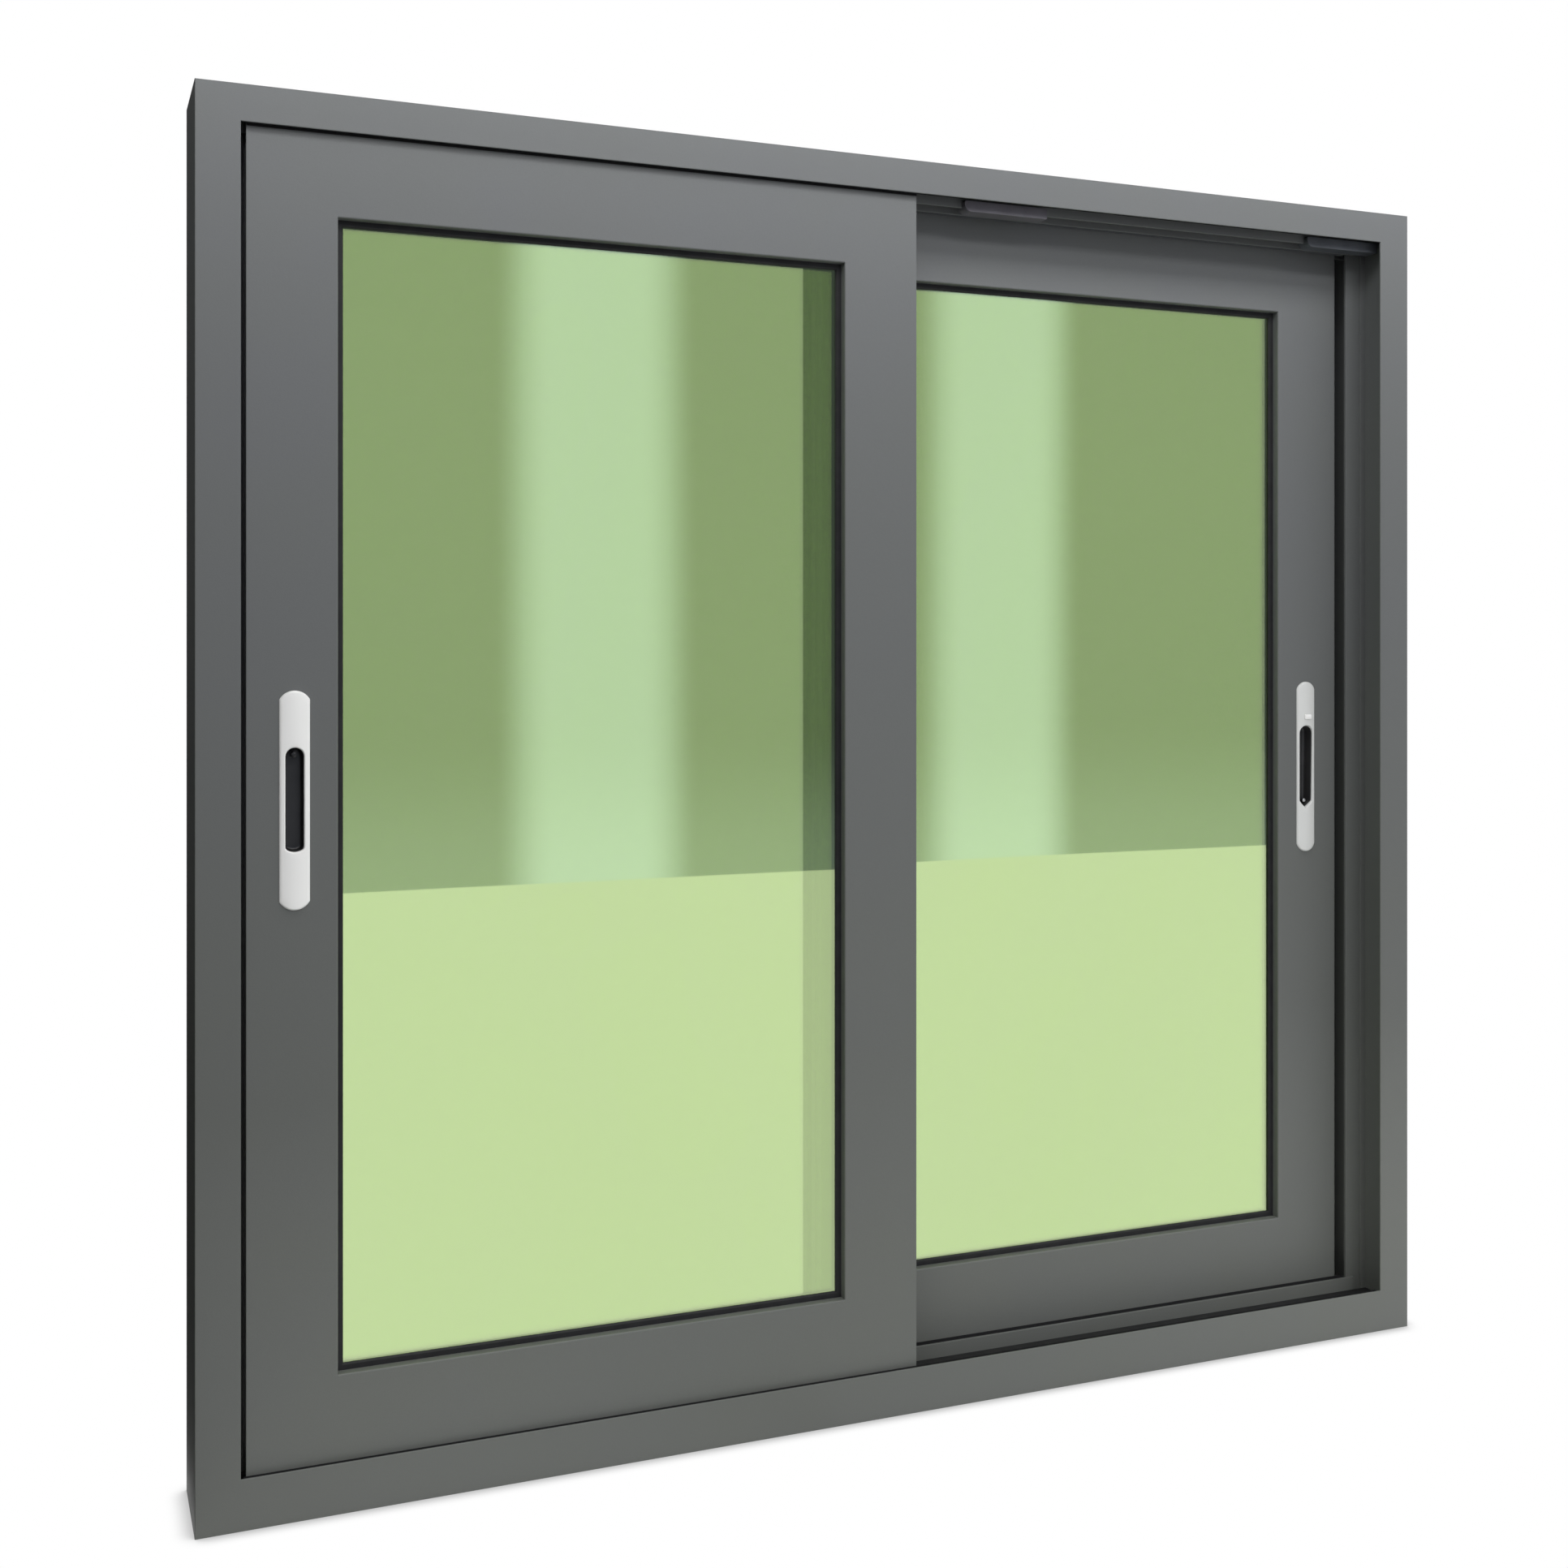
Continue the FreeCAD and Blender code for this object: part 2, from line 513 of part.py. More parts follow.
def lock_pieces(lock, lock_x, face_y):
    """Crowned plate with arc-shaped ends, the cup behind it, and the pocket for the cup."""
    def at(depth):
        return lambda p: Vector(lock_x + p.x, face_y + depth, LOCK_HEIGHT + p.y)

    half = lock["width"] / 2
    end = LOCK_LENGTH / 2
    top_dip, bottom_dip = (radius - math.sqrt(radius ** 2 - half ** 2)
                           for radius in (lock["top_radius"], lock["bottom_radius"]))
    corners = [Vector(-half, end - top_dip, 0), Vector(half, end - top_dip, 0), Vector(half, bottom_dip - end, 0),
               Vector(-half, bottom_dip - end, 0)]
    points = [at(-LOCK_CROWN)(corner) for corner in corners]
    top = at(-LOCK_CROWN)(Vector(0, end, 0))
    bottom = at(-LOCK_CROWN)(Vector(0, -end, 0))
    edges = [Part.Arc(points[0], top, points[1]).toShape(), Part.makeLine(points[1], points[2]),
             Part.Arc(points[2], bottom, points[3]).toShape(), Part.makeLine(points[3], points[0])]
    blank = Part.Face(Part.Wire(edges)).extrude(Vector(0, LOCK_CROWN, 0))
    # The crown: a shallow arc across the width, carried the full length of the plate
    left = Vector(lock_x - half, face_y - LOCK_EDGE, LOCK_HEIGHT - end)
    right = Vector(lock_x + half, face_y - LOCK_EDGE, LOCK_HEIGHT - end)
    crest = Vector(lock_x, face_y - LOCK_CROWN, LOCK_HEIGHT - end)
    back_left = Vector(lock_x - half, face_y, LOCK_HEIGHT - end)
    back_right = Vector(lock_x + half, face_y, LOCK_HEIGHT - end)
    crown_edges = [Part.Arc(left, crest, right).toShape(), Part.makeLine(right, back_right),
                   Part.makeLine(back_right, back_left), Part.makeLine(back_left, left)]
    crown = Part.Face(Part.Wire(crown_edges)).extrude(Vector(0, 0, LOCK_LENGTH))
    plate = blank.common(crown)
    recess = recess_outline(lock, 0)
    plate = plate.cut(section_solid(recess, [], at(-2 * LOCK_CROWN), Vector(0, 3 * LOCK_CROWN, 0)))
    cup = section_solid(recess_outline(lock, CUP_WALL), [], at(0), Vector(0, RECESS_DEPTH + CUP_WALL, 0))
    cup = cup.cut(section_solid(recess, [], at(0), Vector(0, RECESS_DEPTH, 0)))
    pocket = section_solid(recess_outline(lock, CUP_WALL + CUP_FIT), [], at(-WALL), Vector(0, RECESS_DEPTH, 0))
    return plate, cup, pocket


def button_places(lock_x, face_y):
    """Snib button of the right lock, and the slot for its stem."""
    x = lock_x + BUTTON_OFFSET
    z = LOCK_HEIGHT + RECESS_LENGTH / 2 + BUTTON_ABOVE_RECESS
    front = face_y - LOCK_CROWN - BUTTON_PROUD
    outline = rectangle(x - BUTTON_WIDTH / 2, x + BUTTON_WIDTH / 2, z, z + BUTTON_HEIGHT, BUTTON_ROUND)
    face = section_solid(outline, [], lambda p: Vector(p.x, front, p.y), Vector(0, BUTTON_PROUD - RUNNING_FIT, 0))
    half = BUTTON_STEM / 2
    low = z + BUTTON_HEIGHT / 2 - half
    high = low + BUTTON_STEM
    stem = block(x - half, x + half, front, face_y + 2 * WALL, low, high)
    slot = block(x - half - RUNNING_FIT, x + half + RUNNING_FIT, front, face_y + 3 * WALL,
                 low - RUNNING_FIT - BUTTON_TRAVEL, high + RUNNING_FIT)
    return face.fuse(stem).removeSplitter(), slot


# Rollers in the channel under each sash

def roller(x, face_y):
    """Roller housing with its axle, and the grooved wheel that runs on the sill's rail."""
    track_y = face_y + SASH_THICKNESS / 2
    axle_z = RUNNER_TOP + WHEEL_RADIUS - WHEEL_GROOVE_DEPTH
    top = SASH_BOTTOM + BOTTOM_CHANNEL
    shell = block(x - HOUSING_LENGTH / 2, x + HOUSING_LENGTH / 2, track_y - HOUSING_WIDTH / 2,
                  track_y + HOUSING_WIDTH / 2, RAIL_REACH + HOUSING_FLOOR, top)
    room = WHEEL_RADIUS + WHEEL_ROOM
    gap = WHEEL_WIDTH / 2 + WHEEL_SIDE_ROOM
    shell = shell.cut(block(x - room, x + room, track_y - gap, track_y + gap, 0, top - WALL))
    half_width = HOUSING_WIDTH / 2
    axle = Part.makeCylinder(AXLE_RADIUS, HOUSING_WIDTH, Vector(x, track_y - half_width, axle_z), Vector(0, 1, 0))
    shell = shell.fuse(axle).removeSplitter()
    hub = AXLE_RADIUS + RUNNING_FIT
    bed = WHEEL_RADIUS - WHEEL_GROOVE_DEPTH
    half = WHEEL_WIDTH / 2
    groove = WHEEL_GROOVE_WIDTH / 2
    profile = [(hub, -half, 0), (WHEEL_RADIUS, -half, WHEEL_EDGE_ROUND), (WHEEL_RADIUS, -groove, 0),
               (bed, -groove, 0), (bed, groove, 0), (WHEEL_RADIUS, groove, 0),
               (WHEEL_RADIUS, half, WHEEL_EDGE_ROUND), (hub, half, 0)]
    wire = rounded_wire(profile, lambda p: Vector(x, track_y + p.y, axle_z + p.x))
    wheel = Part.Face(wire).revolve(Vector(x, track_y, axle_z), Vector(0, 1, 0), 360)
    return shell, wheel


# The two sashes: the left one runs in front, the right one behind

def build_sash(name, sash_x, face_y, lock_on_left):
    """All pieces of one sash."""
    right_edge = sash_x + SASH_WIDTH
    lock_edge, lock_inward = (sash_x, 1) if lock_on_left else (right_edge, -1)
    meeting_edge = right_edge if lock_on_left else sash_x
    lock_x = lock_edge + lock_inward * LOCK_INSET
    plate, cup, pocket = lock_pieces(LEFT_LOCK if lock_on_left else RIGHT_LOCK, lock_x, face_y)
    lock_stile = stile(lock_edge, lock_inward, face_y).cut(pocket)
    if not lock_on_left:
        button, slot = button_places(lock_x, face_y)
        save(name + "_lock_button", button)
        lock_stile = lock_stile.cut(slot)
        plate = plate.cut(slot)
    save(name + "_lock_stile", lock_stile)
    save(name + "_lock_plate", plate)
    save(name + "_lock_cup", cup)
    save(name + "_meeting_stile", stile(meeting_edge, -lock_inward, face_y))
    save(name + "_top_rail", rail(sash_x, face_y, SASH_TOP, -1, TOP_RAIL_FACE, TOP_CHANNEL))
    save(name + "_bottom_rail", rail(sash_x, face_y, SASH_BOTTOM, 1, BOTTOM_RAIL_FACE, BOTTOM_CHANNEL))
    pane = block(sash_x + PANE_EDGE, right_edge - PANE_EDGE, face_y + GLASS_FRONT, face_y + GLASS_BACK,
                 OPENING_BOTTOM - GLASS_BITE, OPENING_TOP + GLASS_BITE)
    save(name + "_glass", pane)
    save(name + "_front_gasket", pane_ring(sash_x, face_y, GASKET_SHOWS, LEG_DEPTH, GASKET, GASKET_BEVEL))
    back_gasket = pane_ring(sash_x, -face_y - BEAD_FRONT, GASKET_SHOWS, 0, GASKET, GASKET_BEVEL)
    save(name + "_back_gasket", back_gasket.mirror(Vector(0, 0, 0), Vector(0, 1, 0)))
    for side in ("top", "bottom", "left", "right"):
        save(name + "_bead_" + side, bead(sash_x, face_y, side))
    for end, x in (("left", sash_x + HOUSING_INSET), ("right", right_edge - HOUSING_INSET)):
        housing, wheel = roller(x, face_y)
        save(name + "_roller_housing_" + end, housing)
        save(name + "_roller_" + end, wheel)


build_sash("left_sash", LEFT_SASH_X, FRONT_FACE_Y, True)
build_sash("right_sash", RIGHT_SASH_X, REAR_FACE_Y, False)
# Both sashes stand a little open; shut, the two fins come to one clearance from each other
rear_hook = RIGHT_SASH_X + REAR_FIN_OFFSET
front_hook = rear_hook + INTERLOCK_FIN + LEFT_CLOSING + RIGHT_CLOSING + MOVING_CLEARANCE
front_reach = SASH_SPACING - 2 * MOVING_CLEARANCE
rear_reach = SASH_SPACING - MOVING_CLEARANCE
save("left_sash_interlock", interlock(front_hook, FRONT_FACE_Y + SASH_THICKNESS, 1, front_reach))
save("right_sash_interlock", interlock(rear_hook, REAR_FACE_Y, -1, rear_reach))
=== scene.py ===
"""Looks for the horizontal sliding window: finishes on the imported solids, small fixings, studio and camera.

Lengths are metres in the solids' own frame: +X right along the width, +Y out of the room, +Z up.
"""

import json
import math

import bpy
import numpy as np
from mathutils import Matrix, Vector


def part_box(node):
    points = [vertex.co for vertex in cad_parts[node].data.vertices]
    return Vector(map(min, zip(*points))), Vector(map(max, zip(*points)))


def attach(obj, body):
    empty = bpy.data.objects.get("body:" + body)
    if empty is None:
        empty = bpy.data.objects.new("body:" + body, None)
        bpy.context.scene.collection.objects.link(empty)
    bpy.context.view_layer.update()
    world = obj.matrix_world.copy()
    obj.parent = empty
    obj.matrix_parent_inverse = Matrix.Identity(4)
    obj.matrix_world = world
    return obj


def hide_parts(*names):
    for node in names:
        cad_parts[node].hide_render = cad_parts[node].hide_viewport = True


# Camera, as fitted to the edges in the photograph
PHOTO_PIXELS = 1932
FOCAL_PIXELS = 2226.23
HORIZON_PIXEL = 803.29
CAMERA_YAW = 0.3861
CAMERA_PLACE = (-0.73538, -1.60404, 0.72894)
SENSOR_MM = 36.0
CAMERA_NEAR = 0.01
CAMERA_FAR = 100.0

# Studio: the wall that the panes reflect, the world, and four lamps that lie along X
FLOOR_REACH = 14.0
WALL_AWAY = 4.0
WALL_HEIGHT = 4.0
WALL_ENDS = (-3.0, 9.0)
WALL_FOOT_GLOW = 0.16
WALL_FOOT_HEIGHT = 0.5
WALL_TONES = (0.115, 0.80)
WALL_COLOUR = (0.94, 1.05, 1.3)
PANEL_AT = 0.88
PANEL_SPACING = 1.5
PANEL_SOFTNESS = (0.15, 0.85)
AMBIENT = 0.69
KEY_PLACE = (0.3, -3.0, 2.5)
KEY_AIM = (0.2, 0.0, 0.6)
KEY_SIZE = (2.4, 0.4)
KEY_WATTS = 25.0
TOP_PLACE = (0.2, -0.36, 1.46)
TOP_AIM = (0.2, 0.0, 1.1)
TOP_SIZE = (2.2, 0.12)
TOP_WATTS = 4.5
LOW_PLACE = (0.76, -0.45, 0.32)
LOW_AIM = (0.76, -0.43, 0.0)
LOW_SIZE = (1.0, 0.16)
LOW_WATTS = 1.35
CORNER_PLACE = (-0.44, -0.45, 0.32)
CORNER_AIM = (-0.44, -0.43, 0.0)
CORNER_SIZE = (0.34, 0.16)
CORNER_WATTS = 0.52
# A dark flag round the window's left end, and a dark cloth beside it that only light and mirrors meet
FLAG_PATH = ((-1.5, -1.0), (-1.5, 2.2), (-0.66, 2.6))
FLAG_HEIGHT = 2.5
FLAG_TONE = 0.10
CLOTH_EDGE = -0.66
CLOTH_SOFTNESS = 0.03
CLOTH_TONE = 0.04
PAPER_TONE = 0.72
# Contact shadow on the floor: its reach, its depth, and the open share of the sky where it starts and ends
CONTACT_REACH = 0.022
CONTACT_DEPTH = 0.5
CONTACT_OPEN = (0.38, 0.98)
CONTACT_SAMPLES = 24

# Places on the frame that the seals keep to, as in the solids
FRAME_WALL = 0.0018
SILL_LIP_TOP = 0.043
SILL_FLOOR_TOP = 0.0284
HEAD_WALL_PAST_LIP = 0.005
CENTRE_WALL_FRONT = -0.0038
CENTRE_WALL_BACK = -0.0012

# Seals: gaps at their ends, then the sections
SEAL_END_GAP = 0.019
WALL_PILE_END_GAP = 0.0245
STRIP_END_GAP = 0.0004
PILE_WIDTH = 0.0055
PILE_INSET = 0.0006
PILE_ROUND = 0.0004
LIP_PILE = 0.0048
WALL_PILE = 0.0092
FLOOR_STRIP_WIDTH = 0.0145
FLOOR_STRIP_THICKNESS = 0.002
FLOOR_STRIP_GAP = 0.0004
# The pile on the left sash's top rail: partly a real seal, partly painted shade for the dark gap under the head's
# lip
TOP_SHADE_PILE_BELOW_LIP = 0.0014
TOP_SHADE_PILE_ABOVE_LIP = 0.0004
TOP_SHADE_PILE_THICKNESS = 0.0012

# Finger recesses, as in the solids: half width, foot, the rounds at the sides and the tip, shift and taper
RECESS_LENGTH = 0.0885
RECESS_DEPTH = 0.012
CUP_SHELL = 0.0015
LEFT_RECESS = {"half": 0.0075, "foot": 0.0032, "side": 0.0034, "tip": 0.012, "shift": 0.0, "taper": 0.0}
RIGHT_RECESS = {"half": 0.00825, "foot": 0.0067, "side": 0.0035, "tip": 0.002, "shift": 0.0018, "taper": 0.0012}
# Share of the half width in the rounds on top; the cup's floor as a share of its rim, and how full its dish is
RECESS_TOP_ROUND = 0.98
CUP_FLOOR_SHARE = 0.35
CUP_DISH = 3.0

# Lock plates, as in the solids but for the right one's rounder upper end: half width and end radii. Then the
# rolls of their edges, and the slider on the right one
PLATE_LENGTH = 0.185
PLATE_EDGE = 0.0012
PLATE_CROWN = 0.003
PLATE_ROLL = 0.0019
RIM_ROLL = 0.0013
LEFT_PLATE = {"half": 0.0126, "top": 0.0143, "bottom": 0.0143}
RIGHT_PLATE = {"half": 0.0118, "top": 0.0126, "bottom": 0.0122}
SLIDER_ROLL = 0.0009
SLIDER_CROWN = 0.0002
SLIDER_ROUND = 0.0014
SLIDER_THICKNESS = 0.0013
SLIDER_CROWN_START = 0.6
SLIDER_CROWN_END = 0.95
SLIDER_CROWN_DROP = 0.3

# Lock screws: places from the middle of the recess, and sizes; the boss's rings as shares of its radius and depths
LEFT_SCREWS = ((0.0, 0.0383),)
RIGHT_SCREWS = ((0.0006, -0.0372),)
SCREW_RADIUS = 0.0019
SCREW_DOME = 0.0008
SCREW_DOME_CURVE = 0.9
SCREW_DOME_START = 0.04
SCREW_CROSS = (0.0003, 0.0011, 0.0006)
BOSS_RADIUS = 0.0025
BOSS_DEPTH = 0.0030
BOSS_RINGS = ((0.2, 0.0), (0.9, 0.0), (0.97, 0.0001), (1.0, 0.0004))

# Steps of the grids, and what counts as touching or parallel in reach_to
CORNER_STEPS = 14
SLIDER_CORNER_STEPS = 10
PLATE_END_STEPS = 49
PLATE_SIDE_STEPS = 100
ROLL_STEPS = 8
PLATE_FACE_STEPS = 10
CUP_STEPS = 16
TURNED_STEPS = 40
DOME_STEPS = 18
PILE_CORNER_STEPS = 4
TOUCHING = 1e-6
PARALLEL = 1e-12

# Colours as linear red, green and blue, and the mirror coat's share of the glass
COAT_GREY = (0.137, 0.144, 0.140)
# The coat's grey tinted cool for the top and warm for the bottom: painted light
COAT_COOL = (0.136, 0.142, 0.146)
COAT_WARM = (0.137, 0.144, 0.133)
BLOCK_GREY = (0.120, 0.114, 0.134)
# The block plastic darkened for the right anti-lift block: painted shade
BLOCK_SHADED = (0.068, 0.075, 0.088)
GLASS_TINT = (0.63, 0.785, 0.412)
GLASS_MIRROR = 0.5
RUBBER_BLACK = (0.012, 0.012, 0.013)
LOCK_WHITE = (0.96, 0.96, 0.95)
# The lock white darkened for the right plate, which sits back in the shade: painted shade
LOCK_SHADED = (0.73, 0.74, 0.73)
CUP_BLACK = (0.013, 0.013, 0.014)
# The cup black made lighter for the right cup, to lift it out of the shade it sits in: painted light
CUP_PAINTED_LIGHT = (0.034, 0.034, 0.035)
ZINC = (0.42, 0.43, 0.44)
NYLON = (0.70, 0.69, 0.64)
STEEL = (0.62, 0.62, 0.61)
PILE_BLACK = (0.010, 0.010, 0.011)
PILE_GREY = (0.075, 0.080, 0.086)
LAMP_THROUGH_GLASS = (0.62, 0.78, 0.48)

# Grain of the finishes: the coat's painted light tint with a metre of height, lumps a metre, and the relief's height
# in metres
COAT_LIGHT_TINT_PER_METRE = 0.5
COAT_DRIFT_GRAIN = 1.6
COAT_CLOUD_GRAIN = 9.0
COAT_PEEL_GRAIN = 620.0
COAT_SPECK_GRAIN = 2600.0
COAT_PEEL_HEIGHT = 0.00006
MOULD_CLOUD_GRAIN = 60.0
PAINT_FLOW_GRAIN = 45.0
PAINT_SKIN_GRAIN = 1500.0
PAINT_SKIN_HEIGHT = 0.000004
GLASS_WAVE_GRAIN = 2.2
GLASS_WAVE_HEIGHT = 0.00035
DRAWN_LINE_GRAIN = 900.0
DRAWN_CLOUD_GRAIN = 45.0
DRAWN_LINE_HEIGHT = 0.00003
FIBRE_GRAIN = 3600.0
FIBRE_HEIGHT = 0.0003

# Numbers of a Mix node's sockets for colours
MIX_FIRST, MIX_SECOND, MIX_RESULT = 6, 7, 2


class Socket:
    """An output of a node. Arithmetic on it adds Math nodes to the same finish."""

    def __init__(self, finish, output):
        self.finish = finish
        self.output = output

    def _math(self, operation, first, second):
        return self.finish.node("ShaderNodeMath", {"operation": operation}, {0: first, 1: second})

    def __add__(self, other):
        return self._math("ADD", self, other)

    def __radd__(self, other):
        return self._math("ADD", other, self)

    def __sub__(self, other):
        return self._math("SUBTRACT", self, other)

    def __rsub__(self, other):
        return self._math("SUBTRACT", other, self)

    def __mul__(self, other):
        return self._math("MULTIPLY", self, other)

    def __rmul__(self, other):
        return self._math("MULTIPLY", other, self)

    def __getitem__(self, name):
        return Socket(self.finish, self.output.node.outputs[name])


class Finish:
    """A material or the world under construction: node() adds one node and gives its first output."""

    def __init__(self, name, world=None):
        self.made = world or bpy.data.materials.new(name)
        self.made.use_nodes = True
        self.tree = self.made.node_tree
        self.tree.nodes.clear()
        self.out = self.tree.nodes.new("ShaderNodeOutputWorld" if world else "ShaderNodeOutputMaterial")

    def node(self, kind, settings=None, sockets=None):
        """Adds a node, sets its settings, then its sockets' values or links."""
        made = self.tree.nodes.new(kind)
        for key, value in (settings or {}).items():
            setattr(made, key, value)
        for key, value in (sockets or {}).items():
            if isinstance(value, Socket):
                self.tree.links.new(value.output, made.inputs[key])
            else:
                made.inputs[key].default_value = value
        return Socket(self, made.outputs[0])

    def place(self):
        """The point on the piece, in metres."""
        return self.node("ShaderNodeTexCoord")["Object"]

    def noise(self, scale, detail=2.0, stretch=(1.0, 1.0, 1.0), roughness=0.5):
        """Noise from 0 to 1, with about scale lumps a metre, over the point times stretch."""
        point = self.place()
        if stretch != (1.0, 1.0, 1.0):
            point = self.node("ShaderNodeMapping", {}, {"Vector": point, "Scale": stretch})
        return self.node("ShaderNodeTexNoise", {"noise_dimensions": "3D"},
                         {"Vector": point, "Scale": scale, "Detail": detail, "Roughness": roughness})

    def blend(self, share, first, second):
        """A mix of two colours."""
        made = self.node("ShaderNodeMix", {"data_type": "RGBA"},
                         {0: share, MIX_FIRST: rgba(first), MIX_SECOND: rgba(second)})
        return Socket(self, made.output.node.outputs[MIX_RESULT])

    def clip(self, value, low, high, to_low=0.0, to_high=1.0):
        """Value carried from low..high to to_low..to_high, smoothly, and held there."""
        return self.node("ShaderNodeMapRange", {"interpolation_type": "SMOOTHSTEP"},
                         {0: value, 1: low, 2: high, 3: to_low, 4: to_high})

    def bump(self, height, distance):
        """A normal from a height, where 1 stands for distance metres."""
        return self.node("ShaderNodeBump", {}, {"Height": height, "Distance": distance})

    def principled(self, **sockets):
        """The main shader. An underscore in a name stands for a space."""
        named = {key.replace("_", " "): value for key, value in sockets.items()}
        return self.node("ShaderNodeBsdfPrincipled", {}, named)

    def seen(self, mirrored=1.0):
        """1 for rays from the camera and through glass, and 0 for those that gather light.

        Rays off mirrors get the value of mirrored.
        """
        path = self.node("ShaderNodeLightPath")
        flags = path["Is Camera Ray"] + path["Is Glossy Ray"] * mirrored + path["Is Transmission Ray"]
        return self.node("ShaderNodeMath", {"operation": "MINIMUM"}, {0: flags, 1: 1.0})

    def done(self, shader):
        self.tree.links.new(shader.output, self.out.inputs["Surface"])
        return self.made


def rgba(colour):
    """A colour with an alpha of 1, or a link as it is."""
    return colour if isinstance(colour, Socket) else (*colour, 1.0)


def grey(tone):
    """A grey as a colour with an alpha of 1."""
    return (tone, tone, tone, 1.0)


def toned(colour, factor):
    """A colour made lighter or darker."""
    return tuple(c * factor for c in colour)


def powder_coat():
    """Satin powder coat: fine peel, specks, a tone that drifts slowly at random, and painted light: a tint from warm
    below to cool above.
    """
    f = Finish("powder_coat_grey")
    height = f.node("ShaderNodeSeparateXYZ", {}, {0: f.place()})["Z"]
    # Painted light: the height term tints the coat cool towards the top and warm towards the bottom
    drift_and_light_tint = 0.5 * f.noise(COAT_DRIFT_GRAIN, detail=2.0) + COAT_LIGHT_TINT_PER_METRE * height
    cloud = f.noise(COAT_CLOUD_GRAIN, detail=3.0)
    speck = f.noise(COAT_SPECK_GRAIN, detail=1.0)
    peel = f.noise(COAT_PEEL_GRAIN, detail=2.0, roughness=0.6)
    tone = f.blend(f.clip(drift_and_light_tint, 0.3, 0.8), COAT_WARM, COAT_COOL)
    tone = f.blend(f.clip(cloud, 0.3, 0.7, 0.0, 0.5), tone, COAT_GREY)
    dim = f.clip(speck, 0.3, 0.75, 0.955, 1.03)
    specked = f.node("ShaderNodeVectorMath", {"operation": "SCALE"}, {0: tone, "Scale": dim})
    rough = 0.46 + 0.05 * cloud + 0.05 * speck
    normal = f.bump(peel * 0.8 + speck * 0.2, COAT_PEEL_HEIGHT)
    return f.done(f.principled(Base_Color=specked, Roughness=rough, Normal=normal, Specular_IOR_Level=0.38))


def moulded(name, colour, rough, peel_size, peel_height, shine=0.5):
    """Moulded or cast surface: a colour with faint clouds, and a fine skin of a given size and height."""
    f = Finish(name)
    cloud = f.noise(MOULD_CLOUD_GRAIN, detail=3.0)
    skin = f.noise(1.0 / peel_size, detail=2.0)
    pale = tuple(min(1.0, c * 1.08 + 0.004) for c in colour)
    tone = f.blend(f.clip(cloud, 0.3, 0.7), toned(colour, 0.93), pale)
    return f.done(f.principled(Base_Color=tone, Roughness=rough + 0.06 * (cloud - 0.5) + 0.04 * skin,
                               Normal=f.bump(skin, peel_height), Specular_IOR_Level=shine))


def lock_paint(name, colour):
    """Satin paint on a die casting: hardly seen flow marks and a fine skin."""
    f = Finish(name)
    flow = f.noise(PAINT_FLOW_GRAIN, detail=1.0, stretch=(1.0, 1.0, 0.4))
    skin = f.noise(PAINT_SKIN_GRAIN, detail=1.0)
    tone = f.blend(f.clip(flow, 0.2, 0.8), toned(colour, 0.985), colour)
    return f.done(f.principled(Base_Color=tone, Roughness=0.32 + 0.03 * flow,
                               Normal=f.bump(skin, PAINT_SKIN_HEIGHT), Coat_Weight=0.2, Coat_Roughness=0.2))


def coated_glass():
    """Tinted float glass with a mirror coat: part of the light is reflected in the tint, the rest goes through."""
    f = Finish("tinted_glass")
    wave = f.noise(GLASS_WAVE_GRAIN, detail=1.0, stretch=(1.0, 1.0, 0.6))
    tint = f.blend(f.clip(wave, 0.3, 0.7), toned(GLASS_TINT, 0.985), GLASS_TINT)
    pane = f.principled(Base_Color=tint, Roughness=0.012, Transmission_Weight=1.0, IOR=1.5,
                        Metallic=GLASS_MIRROR, Normal=f.bump(wave, GLASS_WAVE_HEIGHT))
    lamp_light = f.node("ShaderNodeBsdfTransparent", {}, {"Color": rgba(LAMP_THROUGH_GLASS)})
    for_lamps = f.node("ShaderNodeLightPath")["Is Shadow Ray"]
    return f.done(f.node("ShaderNodeMixShader", {}, {0: for_lamps, 1: pane, 2: lamp_light}))


def drawn_metal(name, colour, rough):
    """Bare metal with fine drawing lines along X."""
    f = Finish(name)
    lines = f.noise(DRAWN_LINE_GRAIN, detail=2.0, stretch=(0.02, 1.0, 1.0))
    cloud = f.noise(DRAWN_CLOUD_GRAIN, detail=3.0)
    tone = f.blend(f.clip(cloud, 0.3, 0.7), toned(colour, 0.88), colour)
    return f.done(f.principled(Base_Color=tone, Metallic=1.0, Roughness=rough + 0.1 * lines + 0.08 * cloud,
                               Normal=f.bump(lines, DRAWN_LINE_HEIGHT)))


def brush_pile(name, colour):
    """Brush pile: fine upright fibres packed side by side along X, with slightly lighter tips."""
    f = Finish(name)
    fibre = f.noise(FIBRE_GRAIN, detail=2.0, stretch=(1.0, 0.12, 0.12))
    tone = f.blend(f.clip(fibre, 0.4, 0.7), colour, toned(colour, 1.6))
    return f.done(f.principled(Base_Color=tone, Roughness=0.85, Normal=f.bump(fibre, FIBRE_HEIGHT),
                               Specular_IOR_Level=0.15))


